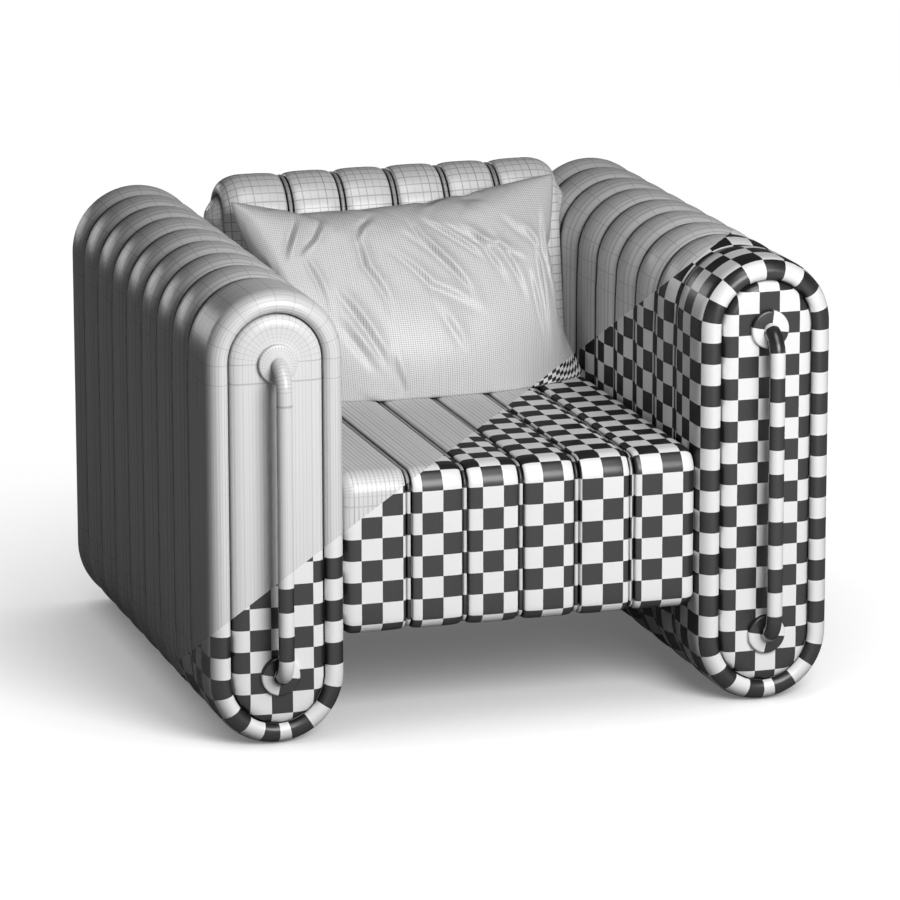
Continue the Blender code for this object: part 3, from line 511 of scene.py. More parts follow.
def end_slab(face, seam):
    """Profile of an end slab from its pocket to its seam, as half_slab gives it, and its way in."""
    inward = math.copysign(1, seam - face)
    quarter = np.radians(np.linspace(0, 90, 7))[1:]
    roll = np.radians(np.linspace(90, 0, 13))[1:]
    inner = RIM_WIDTH - RIM_ROLL_WIDTH
    middle = seam - inward * MIDDLE_SLAB / 2
    y = [face + inward * POCKET, face + inward * RIM_INNER_DEPTH]
    y = np.concatenate((y, face + inward * RIM_INNER_DEPTH * (1 - np.sin(quarter)),
                        face + inward * RIM_ROLL_DEPTH * (1 - np.sin(roll))))
    inset = np.concatenate(([RIM_WIDTH, RIM_WIDTH], RIM_ROLL_WIDTH + inner * np.cos(quarter),
                            RIM_ROLL_WIDTH * (1 - np.cos(roll))))
    if abs(middle - face) > RIM_ROLL_DEPTH + LEAST_FLAT:
        flat = np.linspace(face + inward * RIM_ROLL_DEPTH, middle, 8)[1:-1]
        y = np.concatenate((y, flat))
        inset = np.concatenate((inset, np.zeros_like(flat)))
        seam_y, seam_inset, crowned = half_slab(middle, seam - middle)
    else:
        start = face + inward * RIM_ROLL_DEPTH
        seam_y, seam_inset, crowned = (part[1:] for part in half_slab(start, seam - start))
    crowned = np.concatenate((np.zeros(len(y)), crowned))
    return np.concatenate((y, seam_y)), np.concatenate((inset, seam_inset)), crowned, inward


arm_satin = satin("arm_satin_printed_polyester", 0.27, 0.032, 0.36, 0.42)
SIDES = (("right", -1), ("left", 1))
SEAMS = FRONT_Y + FRONT_SLAB + MIDDLE_SLAB * np.arange(MIDDLE_SLABS + 1)
for side_name, side in SIDES:
    checks_from = 0.0
    for number in range(1, MIDDLE_SLABS + 3):
        name = f"{side_name}_arm_slab_{number}"
        front, end = number == 1, number in (1, MIDDLE_SLABS + 2)
        if end:
            face, seam = (FRONT_Y, SEAMS[0] - HALF_GAP) if front else (REAR_Y, SEAMS[-1] + HALF_GAP)
            y, inset, crowned, inward = end_slab(face, seam)
            y = np.concatenate((y, [seam, face + inward * (POCKET + LINING), y[0]]))
            inset = np.concatenate((inset, [POCKET_WALL, POCKET_WALL, inset[0]]))
            crowned = np.append(crowned, np.zeros(3))
            wall = POCKET - RIM_INNER_DEPTH
            stops = ((0.0, wall, wall + RIM_CHECK, wall + 2 * RIM_CHECK,
                      wall + 2 * RIM_CHECK + 10 * CELL), (-wall / CELL, 0.0, 1.0, 2.0, 12.0))
            if not front:
                stops = (stops[0], tuple(-value for value in stops[1]))
                checks_from += REAR_CHECKS
        else:
            low, high = SEAMS[number - 2] + HALF_GAP, SEAMS[number - 1] - HALF_GAP
            middle = (low + high) / 2
            front_y, front_inset, crowned = half_slab(middle, low - middle)
            rear_y, rear_inset, crowned = half_slab(middle, high - middle)
            y = np.concatenate((front_y[::-1], rear_y[1:], [high, low, low]))
            inset = np.concatenate((front_inset[::-1], rear_inset[1:],
                                    [FOAM_WALL, FOAM_WALL, SEAM_DEPTH]))
            crowned = np.concatenate((crowned[::-1], crowned[1:], np.zeros(3)))
            stops = ((0.0, 1.0), (0.0, 1.0 / CELL))
        piece = slab_cover(name + "_cover", side, y, inset, crowned, checks_from, stops, number, end)
        upholster(piece, arm_satin, name)
        cloth_run = END_RUN + 2 * (CELL - RIM_CHECK) if front else MIDDLE_SLAB + CROWN_TAKES
        checks_from += cloth_run / CELL

# Arm panels. A plywood board padded with foam and covered in the same satin is pressed into the rim
# at each end of an arm. Its face is flat, and its edge is a soft round shoulder.
PANEL_INSET = 0.0345
PANEL_SHOULDER = 0.0200
PANEL_DROP = 0.0140
PANEL_BACK = 0.0244
SHOULDER_POWER = 2.3
PANEL_COLUMN = 0.0330
PANEL_ROW = 0.0333
PANEL_ROW_START = 0.5508
PANEL_CHECKS = {"right": (0.0130, 1.0), "left": (0.0160, 0.0)}
PANEL_THREADS = 0.0058
PANEL_SEED = 40
# Painted shade: shares of the drop between which the panel's shoulder darkens into the groove.
PANEL_SHADE_FROM, PANEL_SHADE_TO = 0.55, 0.95

panel_satin = satin("panel_satin_printed_polyester", 0.24, 0.075, 0.26, 0.40)
share = np.linspace(0, 1, 13)[1:]
PANEL_EDGE = np.concatenate((
    [ARM_HALF, PANEL_INSET, PANEL_INSET], PANEL_INSET + PANEL_SHOULDER * share,
    np.linspace(PANEL_INSET + PANEL_SHOULDER, ARM_HALF, 8)[1:]))
bulge = 1 - (1 - (1 - share) ** SHOULDER_POWER) ** (1 / SHOULDER_POWER)
PANEL_SINK = np.concatenate(([PANEL_BACK, PANEL_BACK, PANEL_DROP], PANEL_DROP * bulge, np.zeros(7)))
PANEL_LINES = np.interp(GIRTH_LINES, (0, 5, 6, 6.35, 6.65, 7, 8, 18, 19, 19.35, 19.65, 20, 21, 26),
                        (0, 10, 11, 11.35, 11.65, 12, 13, 33, 34, 34.35, 34.65, 35, 36, 46))
for side_name, side in SIDES:
    for end, face, inward in (("front", FRONT_Y, 1), ("rear", REAR_Y, -1)):
        across, up = capsule(ARM_HALF, 0.0, ARM_HEIGHT, PANEL_EDGE)
        y = face + inward * PANEL_SINK
        points = joined(side * ARM_X + across, y[None, :], up)
        shift, turned = PANEL_CHECKS[side_name]
        checks = joined((across + shift) / PANEL_COLUMN + turned, (up - PANEL_ROW_START) / PANEL_ROW)
        run = travel(y, PANEL_EDGE)
        threads = joined(thread_count(run, PANEL_THREADS, PANEL_SEED)[None, :], PANEL_LINES[:, None])
        # Painted shade: the shoulder darkens at half strength where it sinks into the groove at the
        # rim.
        painted_shade = RIM_SHADE * smooth((PANEL_SINK / PANEL_DROP - PANEL_SHADE_FROM) / (PANEL_SHADE_TO - PANEL_SHADE_FROM))
        name = f"{side_name}_arm_{end}_panel"
        piece = cloth_surface(name + "_cover", points, checks, threads, painted_shade[None, :], rows_meet=True)
        upholster(piece, panel_satin, name)

# Grab bars. Each is a steel tube bent at both ends and welded to two domed flanges, held by studs
# through the panel. Tube and flanges are film-wrapped with the chair's print under a satin lacquer.
BAR_RADIUS = 0.0120
BAR_Y = -0.46005
BAR_BEND = 0.0360
BAR_TOP = 0.5926
BAR_FOOT = 0.1111
BAR_CHECK = 0.0375
BAR_CHECK_START = {"right": 0.0170, "left": 0.0502}
FLANGE_RADIUS = 0.0300
FLANGE_THICKNESS = 0.0109
FLANGE_EDGE = 0.0030
FLANGE_DOME = 0.0022
FLANGE_GAP = 0.0003
FLANGE_TURN = math.radians(80)
FLANGE_RING = 0.0042
FLANGE_SPOKES = 36
BAR_LINES = 20
BEND_RUN = 0.060
BEND_FADE = 0.075
AROUND = 48
TURNS = np.linspace(0, 2 * math.pi, AROUND + 1)

bar_film = satin("bar_film_printed_vinyl", 0.16, 0.12, 0.30, 0.45, roughness=0.30)


def bar_path():
    """Path of the tube, as y and z: out of the upper flange, round a bend, down, and back again. Arcs
    are centre + bend * (cos, sin) of the turn."""
    turn = np.concatenate((np.linspace(90, 180, 15), np.full(12, 180), np.linspace(180, 270, 15)))
    top, foot = BAR_TOP - BAR_BEND, BAR_FOOT + BAR_BEND
    centre = np.concatenate((np.full(15, top), np.linspace(top, foot, 14)[1:-1], np.full(15, foot)))
    turn = np.radians(turn)
    return BAR_Y + BAR_BEND * (1 + np.cos(turn)), centre + BAR_BEND * np.sin(turn)


def tube(name, x, start):
    """The tube: at each point of the path a circle, across X and across the path's own direction."""
    y, z = bar_path()
    run = travel(y, z)
    slope = np.unwrap(np.arctan2(np.gradient(z, run), np.gradient(y, run)))[:, None]
    points = joined(x + BAR_RADIUS * np.sin(TURNS),
                    y[:, None] - BAR_RADIUS * np.sin(slope) * np.cos(TURNS),
                    z[:, None] + BAR_RADIUS * np.cos(slope) * np.cos(TURNS))
    checks = joined(TURNS / math.pi + 0.5, ((run - start) / BAR_CHECK)[:, None])
    bends = np.interp(run, (0.0, BEND_RUN, BEND_FADE, run[-1] - BEND_FADE, run[-1] - BEND_RUN, run[-1]),
                      (0.0, 12.0, 12.4, 12.6, 13.0, 25.0))
    threads = joined(TURNS / (2 * math.pi) * BAR_LINES, bends[:, None])
    return cloth_surface(name, points, checks, threads, columns_meet=True)


def flange(name, x, z):
    """A flange: a domed profile of radius and height over the panel, turned about its middle."""
    dome = np.linspace(0, FLANGE_RADIUS - FLANGE_EDGE, 8)
    edge = np.radians(np.linspace(90, 0, 6))[1:]
    radius = np.concatenate((dome, FLANGE_RADIUS - FLANGE_EDGE + FLANGE_EDGE * np.cos(edge),
                             [FLANGE_RADIUS, 0.0]))
    slope = FLANGE_DOME * (dome / dome[-1]) ** 2
    height = np.concatenate((FLANGE_THICKNESS - slope,
                             FLANGE_THICKNESS - FLANGE_DOME - FLANGE_EDGE * (1 - np.sin(edge)),
                             [FLANGE_GAP, FLANGE_GAP]))
    turn = TURNS[:, None]
    points = joined(x + radius * np.cos(turn), FRONT_Y - height, z + radius * np.sin(turn))
    checks = joined((turn - FLANGE_TURN) * 2 / math.pi, np.full(len(radius), 0.5))
    threads = joined(radius / FLANGE_RING, turn / (2 * math.pi) * FLANGE_SPOKES)
    return cloth_surface(name, points, checks, threads, rows_meet=True)


for side_name, side in SIDES:
    bar = tube(f"{side_name}_bar_tube", side * ARM_X, BAR_CHECK_START[side_name])
    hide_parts(f"{side_name}_grab_bar")
    fittings = [bar]
    for end, z in (("upper", BAR_TOP), ("lower", BAR_FOOT)):
        fittings.append(flange(f"{side_name}_bar_{end}_flange", side * ARM_X, z))
    for piece in fittings:
        piece.data.materials.append(bar_film)
        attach(piece, "chair")

# Seat quilt. One satin cover over wadding, sewn down in lines from the rear over the front edge and
# under it. Each sewn line holds a strip with a low dome, and the cloth folds down beside it on both
# sides.
SEAT_TOP = 0.4065
SEAT_BOTTOM = 0.1550
SEAT_FRONT = -0.40145
SEAT_HALF = 0.2804
SEAT_PITCH = 0.0890
CHANNEL_PAIRS = 3
SEAT_GROOVE = 0.0104
GROOVE_DEPTH = 0.0074
SLOT_DEPTH = 0.0165
SLOT_WIDTH = 0.0024
SEAT_CHANNEL = 4.6
STRIP_CROWN = 0.0030
# Painted shade on the strip between two slots, as a share of the slots' full shade.
STRIP_SHADE = 0.55
STRIP_KNEE = 0.45
STRIP_DOME = np.array([1.0, 0.8, 0.3])
SEAT_TOP_ROLL = 0.0340
SEAT_BOTTOM_ROLL = 0.0250
SEAT_REAR_ROLL = 0.0200
SEAT_END_ROLL = 0.0170
SEAT_END_DROP = 0.0150
SEAT_QUILT = 0.0600
SEAT_FRONT_QUILT = 0.0450
SEAT_LIP = 0.0200
SEAT_LIP_REACH = 0.0203
SEAT_CLEAR = 0.0003
HIDDEN_FOLD = 0.0180
SEAT_CHECK_X = -0.1582
SEAT_CHECK_Z = 0.3736
SEAT_ROW = 0.0336
SEAT_THREADS = 0.0071
SEAT_FRONT_SHADE = 0.25
EDGE_FADE = 0.0200
FACE_ROW, EDGE_ROW = 9, 18
BACK_LEAN = math.radians(8.8)
BACK_TOP = 0.7300
BACK_HALF = 0.0700
BACK_ORIGIN_Y = 0.25105
BACK_ORIGIN_Z = SEAT_BOTTOM + BACK_HALF * math.sin(BACK_LEAN)
BACK_STRAIGHT = (BACK_TOP - BACK_HALF - BACK_ORIGIN_Z) / math.cos(BACK_LEAN)


def back_face(z):
    """Y of the back's front crests at a height."""
    low = BACK_ORIGIN_Y - BACK_HALF * math.cos(BACK_LEAN)
    return low + (z - BACK_ORIGIN_Z - BACK_HALF * math.sin(BACK_LEAN)) * math.tan(BACK_LEAN)


def quilt_columns(half, pitch, end_roll, end_drop, groove_width, power):
    """Across a quilt: x, how far the cloth is drawn in, the cloth's own run with its hidden folds, and
    how much painted shade darkens it: fully in the slots beside each sewn line, less on the strip
    between them. A channel is drawn in by depth * (1 - (1 - |s|^p)^(1/p)), with s from -1 to 1 across
    it."""
    groove = groove_width / 2
    knee = groove * (1 - STRIP_KNEE)
    strip = GROOVE_DEPTH - STRIP_CROWN * STRIP_DOME
    x, inset, run = [np.array([0.0])], [strip[:1]], [np.array([0.0])]
    groove_shade = [np.array([STRIP_SHADE])]
    cloth = 0.0
    for i in range(CHANNEL_PAIRS):
        last = i == CHANNEL_PAIRS - 1
        start = i * pitch + groove
        stop = half if last else (i + 1) * pitch - groove
        share = np.sin(np.linspace(-1, 1, 23) * math.pi / 2)
        inside = start + (stop - start) * (share + 1) / 2
        drawn = GROOVE_DEPTH * (1 - (1 - np.abs(share) ** power) ** (1 / power))
        if last:
            keep = (share < 0) & (inside < half - end_roll)
            bend = np.radians(np.linspace(90, 0, 12))
            roll = half - end_roll * (1 - np.cos(bend))
            bridge = np.linspace(inside[keep][-1], roll[0], 5)[1:-1]
            inside = np.concatenate((inside[keep], bridge, roll))
            drawn = np.concatenate((drawn[keep], np.zeros(3), end_drop * (1 - np.sin(bend))))
        x += [start - np.array([knee, SLOT_WIDTH, SLOT_WIDTH / 2]), inside]
        inset += [np.append(strip[1:], SLOT_DEPTH), drawn]
        groove_shade += [np.array([STRIP_SHADE, 1.0, 1.0]), np.zeros(len(inside))]
        groove_shade[-1][0] = 1.0
        run += [cloth + np.array([groove - knee, groove - SLOT_WIDTH, groove + HIDDEN_FOLD / 2]),
                cloth + groove + HIDDEN_FOLD + inside - start]
        cloth += groove + HIDDEN_FOLD + stop - start
        if not last:
            x.append(stop + np.array([SLOT_WIDTH / 2, SLOT_WIDTH, knee, groove]))
            inset.append(np.append(SLOT_DEPTH, strip[::-1]))
            groove_shade[-1][-1] = 1.0
            groove_shade.append(np.array([1.0, 1.0, STRIP_SHADE, STRIP_SHADE]))
            run.append(cloth + HIDDEN_FOLD + np.array([-HIDDEN_FOLD / 2, 0.0, knee, groove]))
            cloth += HIDDEN_FOLD + groove
    x, inset, run, groove_shade = (np.concatenate(parts) for parts in (x, inset, run, groove_shade))
    return (np.concatenate((-x[:0:-1], x)), np.concatenate((inset[:0:-1], inset)),
            np.concatenate((-run[:0:-1], run)), np.concatenate((groove_shade[:0:-1], groove_shade)))


def seat_section(inset):
    """Closed section of the seat quilt, as y and z for each inset, from under the front rail up the
    front, over the top to the rear, and back inside. Arcs keep their centres and lose the inset."""
    inset = inset[:, None]
    foot = np.radians(np.linspace(270, 180, 9))
    head = np.radians(np.linspace(180, 90, 15))
    heel = np.radians(np.linspace(90, 0, 7))
    rear_y = back_face(SEAT_TOP - SEAT_REAR_ROLL) - SEAT_CLEAR
    under = SEAT_TOP - SEAT_QUILT
    lip = SEAT_FRONT + SEAT_FRONT_QUILT + SEAT_LIP_REACH
    face = np.linspace(SEAT_BOTTOM + SEAT_BOTTOM_ROLL, SEAT_TOP - SEAT_TOP_ROLL, 10)[1:-1]
    deck = np.linspace(SEAT_FRONT + SEAT_TOP_ROLL, rear_y - SEAT_REAR_ROLL, 22)[1:-1]
    one = np.ones_like(inset)
    y = np.concatenate((
        one * lip, SEAT_FRONT + SEAT_BOTTOM_ROLL + (SEAT_BOTTOM_ROLL - inset) * np.cos(foot),
        (SEAT_FRONT + inset) * np.ones_like(face),
        SEAT_FRONT + SEAT_TOP_ROLL + (SEAT_TOP_ROLL - inset) * np.cos(head), one * deck,
        rear_y - SEAT_REAR_ROLL + (SEAT_REAR_ROLL - inset) * np.cos(heel),
        back_face(under) - SEAT_CLEAR - inset, one * (SEAT_FRONT + SEAT_FRONT_QUILT),
        one * (SEAT_FRONT + SEAT_FRONT_QUILT), one * lip, one * lip), axis=1)
    z = np.concatenate((
        SEAT_BOTTOM + inset, SEAT_BOTTOM + SEAT_BOTTOM_ROLL + (SEAT_BOTTOM_ROLL - inset) * np.sin(foot),
        one * face, SEAT_TOP - SEAT_TOP_ROLL + (SEAT_TOP_ROLL - inset) * np.sin(head),
        (SEAT_TOP - inset) * np.ones_like(deck),
        SEAT_TOP - SEAT_REAR_ROLL + (SEAT_REAR_ROLL - inset) * np.sin(heel),
        one * under, one * under, one * (SEAT_BOTTOM + SEAT_LIP), one * (SEAT_BOTTOM + SEAT_LIP),
        SEAT_BOTTOM + inset), axis=1)
    return y, z


# The seat's lines are printed deeper than the arms', partly as print and partly as painted shade: they
# darken the whole seat for the dimmer light on its top.
seat_satin = satin("seat_satin_printed_polyester", 0.24, 0.16, 0.56, 0.30)
x, inset, run, groove_shade = quilt_columns(SEAT_HALF, SEAT_PITCH, SEAT_END_ROLL, SEAT_END_DROP, SEAT_GROOVE,
                                     SEAT_CHANNEL)
y, z = seat_section(inset)
points = joined(x[:, None], y, z)
crest_y, crest_z = (grid[0] for grid in seat_section(np.zeros(1)))
length = travel(crest_y, crest_z)
front = slice(FACE_ROW, EDGE_ROW + 2)
start = np.interp(SEAT_CHECK_Z, crest_z[front], length[front])
first = np.interp(SEAT_CHECK_X, x, run)
checks = joined(((run - first) / CELL)[:, None], ((length - start) / SEAT_ROW)[None, :])
# Cross lines: 16 close together where the cloth rolls over the edge, hardly any before and behind.
edge = length[EDGE_ROW]
cross = np.interp(length, (0.0, edge - 0.02, edge - 0.005, edge + 0.075, edge + 0.09, length[-1]),
                  (0.3, 0.6, 1.0, 16.0, 16.4, 16.6))
threads = joined((run / SEAT_THREADS)[:, None], cross[None, :])
# Painted shade in the grooves: fainter down the seat's front, full over its top.
on_top = SEAT_FRONT_SHADE + (1 - SEAT_FRONT_SHADE) * smooth((length - edge) / EDGE_FADE)
painted_shade = groove_shade[:, None] * on_top[None, :]
seat_quilt = cloth_surface("seat_quilt_cover", points, checks, threads, painted_shade, columns_meet=True)
upholster(seat_quilt, seat_satin, "seat_quilt")

# Back quilt. Made as the seat's, over a lean frame that comes up inside it from below. At both ends
# the roll turns into a rim round the side pad, and its shoulder swells over the arm.
FRAME_HALF = 0.2821
BACK_PITCH = 0.0876
BACK_GROOVE = 0.0112
BACK_CHANNEL = 3.0
BACK_END_ROLL = 0.0420
BACK_END_DROP = 0.0260
BACK_RIM = 0.0300
BACK_QUILT_FRONT = 0.0500
BACK_QUILT_TOP = 0.0650
BACK_CAVITY_DEPTH = 0.0524
BACK_POCKET = 0.0220
BACK_SWELL = 0.0006
SWELL_FROM = (0.215, 0.625)
SWELL_FADE = (0.060, 0.050)
BACK_LIP = 0.0040
TAIL_RUN = np.array([0.002, 0.004, 0.005, 0.006, 0.024])
BACK_THREADS = 0.0130
BACK_CROSS = 0.0145


def back_place(w, v):
    """World y and z of a point in the leaning back: w to the rear, v up along it."""
    return (BACK_ORIGIN_Y + w * math.cos(BACK_LEAN) + v * math.sin(BACK_LEAN),
            BACK_ORIGIN_Z - w * math.sin(BACK_LEAN) + v * math.cos(BACK_LEAN))


# The back's lines are printed deeper than the arms', partly as print and partly as painted shade: they
# darken the whole back for the shade that the pillow and arms cast on it.
back_satin = satin("back_satin_printed_polyester", 0.10, 0.09, 0.75, 0.60)
x, inset, run, groove_shade = quilt_columns(FRAME_HALF, BACK_PITCH, BACK_END_ROLL, BACK_END_DROP, BACK_GROOVE,
                                     BACK_CHANNEL)
lip = np.radians(np.linspace(0, 90, 5))[1:]
tail_x = np.append(FRAME_HALF - BACK_LIP * (1 - np.cos(lip)), FRAME_HALF - BACK_POCKET)
tail_inset = np.append(BACK_END_DROP + BACK_LIP * np.sin(lip), BACK_RIM)
tail_run = run[-1] + TAIL_RUN
x = np.concatenate((-tail_x[::-1], x, tail_x))
inset = np.concatenate((tail_inset[::-1], inset, tail_inset))
run = np.concatenate((-tail_run[::-1], run, tail_run))
radius = BACK_HALF - inset[:, None]
arch = np.radians(np.linspace(0, 180, 41))
rise = np.linspace(0, BACK_STRAIGHT, 14)
cavity_top = BACK_STRAIGHT + BACK_HALF - BACK_QUILT_TOP
cavity_front = BACK_QUILT_FRONT - BACK_HALF
cavity_rear = cavity_front + BACK_CAVITY_DEPTH
one = np.ones_like(radius)
w = np.concatenate((radius * np.ones(13), radius * np.cos(arch), -radius * np.ones(13),
                    one * [cavity_front, cavity_front, cavity_rear, cavity_rear], radius), axis=1)
v = np.concatenate((one * rise[:-1], BACK_STRAIGHT + radius * np.sin(arch), one * rise[-2::-1],
                    one * [0.0, cavity_top, cavity_top, 0.0], one * 0.0), axis=1)
y, z = back_place(w, v)
inner = np.zeros(w.shape[1], bool)
inner[-5:-1] = True
wall = FRAME_HALF - BACK_POCKET
across = np.where(inner[None, :], np.clip(x, -wall, wall)[:, None], x[:, None])
swell = BACK_SWELL * smooth((z - SWELL_FROM[1]) / SWELL_FADE[1]) \
    * smooth((np.abs(across) - SWELL_FROM[0]) / SWELL_FADE[0])
across = across + np.where(inner[None, :], 0, np.sign(across) * swell)
points = joined(across, y, z)
length = travel(w[len(x) // 2], v[len(x) // 2])
checks = joined((run / CELL)[:, None], (length / CELL)[None, :])
threads = joined((run / BACK_THREADS)[:, None], (length / BACK_CROSS)[None, :])
# Painted shade at half strength on the rim's lip that runs into the side pad's pocket.
tail_shade = np.full(len(tail_x), RIM_SHADE)
painted_shade = np.concatenate((tail_shade, groove_shade, tail_shade))[:, None]
back_quilt = cloth_surface("back_quilt_cover", points, checks, threads, painted_shade, columns_meet=True)
upholster(back_quilt, back_satin, "back_quilt")

# Side pads. A foam pad in each end of the back, set in its rim. Where the arm leaves room above its
# shoulder, the pad swells out.
PAD_SWELL = 0.0215
PAD_HEIGHT = 0.6640
PAD_SPREAD = 0.0450
PAD_EDGE = 0.0120
PAD_CLEAR = 0.0015
PAD_GAP = 0.0003
PAD_ROUND = 2.2
PAD_THREADS = 0.0080
PAD_CROSS = 0.0105
PAD_SHADE_FROM, PAD_SHADE_TO = 0.5, 0.1

pad_half = BACK_HALF - BACK_RIM
pad_top = BACK_STRAIGHT + BACK_HALF - BACK_RIM
bend = np.radians(np.linspace(0, 90, 8))
pad_inset = np.concatenate(([pad_half, 0.0], PAD_EDGE * (1 - np.cos(bend)),
                            np.linspace(PAD_EDGE, pad_half, 6)[1:])) + PAD_GAP
pad_inset = np.minimum(pad_inset, pad_half)
pad_out = np.concatenate((np.full(2, FRAME_HALF - BACK_POCKET),
                          FRAME_HALF - PAD_EDGE * (1 - np.sin(bend)), np.full(5, FRAME_HALF)))
for side_name, side in SIDES:
    w, v = capsule(pad_half, BACK_RIM, pad_top, pad_inset)
    y, z = back_place(w, v)
    fullness = 1 - (1 - pad_inset / pad_half) ** PAD_ROUND
    swell = PAD_SWELL * np.exp(-((z - PAD_HEIGHT) / PAD_SPREAD) ** 2) * fullness
    rise = np.clip(z - (ARM_HEIGHT - ARM_HALF), 0, ARM_HALF)
    room = ARM_X - np.sqrt(ARM_HALF ** 2 - rise ** 2) - FRAME_HALF - PAD_CLEAR
    swell = np.minimum(swell, np.maximum(room, 0))
    swell[:, :2] = 0
    points = joined(side * (pad_out + swell), y, z)
    pad_run = outline_run(pad_half, pad_top - BACK_RIM - 2 * pad_half)
    checks = joined(w / CELL, v / CELL)
    threads = joined(pad_inset[None, :] / PAD_THREADS, (pad_run / PAD_CROSS)[:, None])
    # Painted shade: the pad's edge darkens at half strength as it goes down into the rim.
    groove_shade = (PAD_SHADE_FROM - pad_inset / PAD_EDGE) / (PAD_SHADE_FROM - PAD_SHADE_TO)
    painted_shade = RIM_SHADE * smooth(groove_shade)
    piece = cloth_surface(f"back_{side_name}_pad_cover", points, checks, threads, painted_shade[None, :],
                          rows_meet=True)
    upholster(piece, back_satin, f"back_{side_name}_side_pad")

# Pillow. A loose cushion leans in the seat against the back. Its cover is two flat panels sewn round
# the edge and blown up by a soft insert, so its sides draw in, the cloth puckers and folds run in
# from its corners.
PILLOW_WIDTH = 0.5700
PILLOW_HEIGHT = 0.3600
PILLOW_COLUMNS = 84
PILLOW_ROWS = 54
PILLOW_FLAT = 0.0040
PILLOW_FRAMES = 15
PILLOW_BLOW = {
    "quality": 6, "mass": 0.15, "air_damping": 2.0, "tension_stiffness": 20.0,
    "compression_stiffness": 20.0, "shear_stiffness": 8.0, "bending_stiffness": 0.15,
    "use_pressure": True, "uniform_pressure_force": 5.0}
PILLOW_FRONT = 0.0780
PILLOW_REAR = 0.0600
PILLOW_BELLY = 0.30
PILLOW_SAG = 0.0290
SAG_SLANT = 0.25
PILLOW_LIFT = 0.0140
PILLOW_CREEP = 0.0300
PILLOW_WAIST = 0.0330
WAIST_SLANT = 0.35
MIDDLE_BAND = 0.1
REAR_RISE = 0.5
ON_SEAT = 0.0003
ON_BACK = 0.0004
PILLOW_ROLL = math.radians(75)
PILLOW_CORNERS = np.array([[[-0.2700, 0.1200, 0.4110], [0.2740, 0.1200, 0.4110]],
                           [[-0.2870, 0.2256, 0.7080], [0.2520, 0.2256, 0.7230]]])
PILLOW_CHECK = 0.0095
PILLOW_THREADS = 0.0035
PILLOW_STRETCH = 1.30
PULL_FROM = 0.35
PULL_RUN = 0.70
CORNER_PULL = 0.35
PILLOW_SEAM_SHADE = 0.55
FOLD_VALLEY = 0.0056
FOLD_RIDGE = 0.0100
FOLD_GAIN = 1.35
FOLD_OFFSET = 0.0085
FOLD_RIDGE_SHARE = 0.75
FOLD_TAPER = 0.0120
FOLD_END = 0.08
FOLD_BAND = 0.25
# Folds of the front panel, each as points across and up from its middle in shares of its half sizes,
# and its height.
FOLDS = (
    (((-0.50, 0.86), (-0.60, 0.60), (-0.72, 0.42)), 0.0060),
    (((-0.66, 0.84), (-0.74, 0.62), (-0.82, 0.40)), 0.0060),
    (((-0.2, 0.85), (-0.28, 0.75), (-0.33, 0.6)), 0.0060),
    (((-0.33, 0.55), (-0.33, 0.2), (-0.23, -0.15)), 0.0050),
    (((0.02, 0.73), (0.05, 0.53), (0.15, 0.23), (0.28, -0.12)), 0.0060),
    (((0.32, 0.6), (0.43, 0.38), (0.67, 0.15)), 0.0050),
    (((-0.13, 0.33), (0.05, -0.07), (0.32, -0.25)), 0.0040),
    (((-0.52, -0.1), (-0.37, -0.35), (-0.27, -0.52)), 0.0060),
    (((-0.53, -0.3), (-0.35, -0.52)), 0.0050),
    (((-0.25, -0.47), (-0.18, -0.68)), 0.0050),
    (((-0.05, -0.85), (0.12, -1.0)), 0.0050),
    (((0.27, -1.0), (0.35, -1.0)), 0.0050),
    (((0.8, 0.2), (0.8, -0.05), (0.8, -0.47)), 0.0050),
    (((0.72, 0.5), (0.83, 0.23)), 0.0050),
    (((0.72, -0.05), (0.77, -0.47)), 0.0040),
    (((0.38, 0.48), (0.52, -0.02)), 0.0035),
    (((0.5, 0.45), (0.65, -0.15)), 0.0035),
    (((0.08, -0.25), (0.2, -0.45)), 0.0030),
    (((0.62, 0.6), (0.77, 0.3)), 0.0030),
    (((-0.45, -0.7), (-0.23, -0.82)), 0.0040),
    (((-0.7, 0.33), (-0.63, -0.1)), 0.0030),
    (((0.12, 0.72), (0.24, 0.50), (0.40, 0.20)), 0.0045),
    (((0.22, 0.66), (0.36, 0.44), (0.55, 0.18)), 0.0040),
    (((-0.02, 0.58), (0.10, 0.30), (0.22, 0.02)), 0.0035),
    (((0.88, 0.62), (0.86, 0.25), (0.90, -0.20)), 0.0045),
)


def read_places(mesh):
    """The places of a mesh's vertices, one row each."""
    places = np.empty(len(mesh.vertices) * 3, np.float32)
    mesh.vertices.foreach_get("co", places)
    return places.reshape(-1, 3).astype(float)


def inflate(piece, frames, settings):
    """Blow a flat bag up by a cloth simulation without gravity, and give its last shape."""
    blow = piece.modifiers.new("inflate", "CLOTH")
    for key, value in settings.items():
        setattr(blow.settings, key, value)
    blow.settings.effector_weights.gravity = 0.0
    blow.point_cache.frame_start = 1
    blow.point_cache.frame_end = frames
    for step in range(1, frames + 1):
        bpy.context.scene.frame_set(step)
    places = read_places(piece.evaluated_get(bpy.context.evaluated_depsgraph_get()).data)
    piece.modifiers.remove(blow)
    bpy.context.scene.frame_set(1)
    return places


def refine(piece):
    """Divide each face in four, rounded by one step of subdivision, and keep the result as the mesh."""
    finer = piece.modifiers.new("finer", "SUBSURF")
    finer.levels = finer.render_levels = 1
    ready = piece.evaluated_get(bpy.context.evaluated_depsgraph_get())
    mesh = bpy.data.meshes.new_from_object(ready)
    piece.modifiers.remove(finer)
    piece.data = mesh


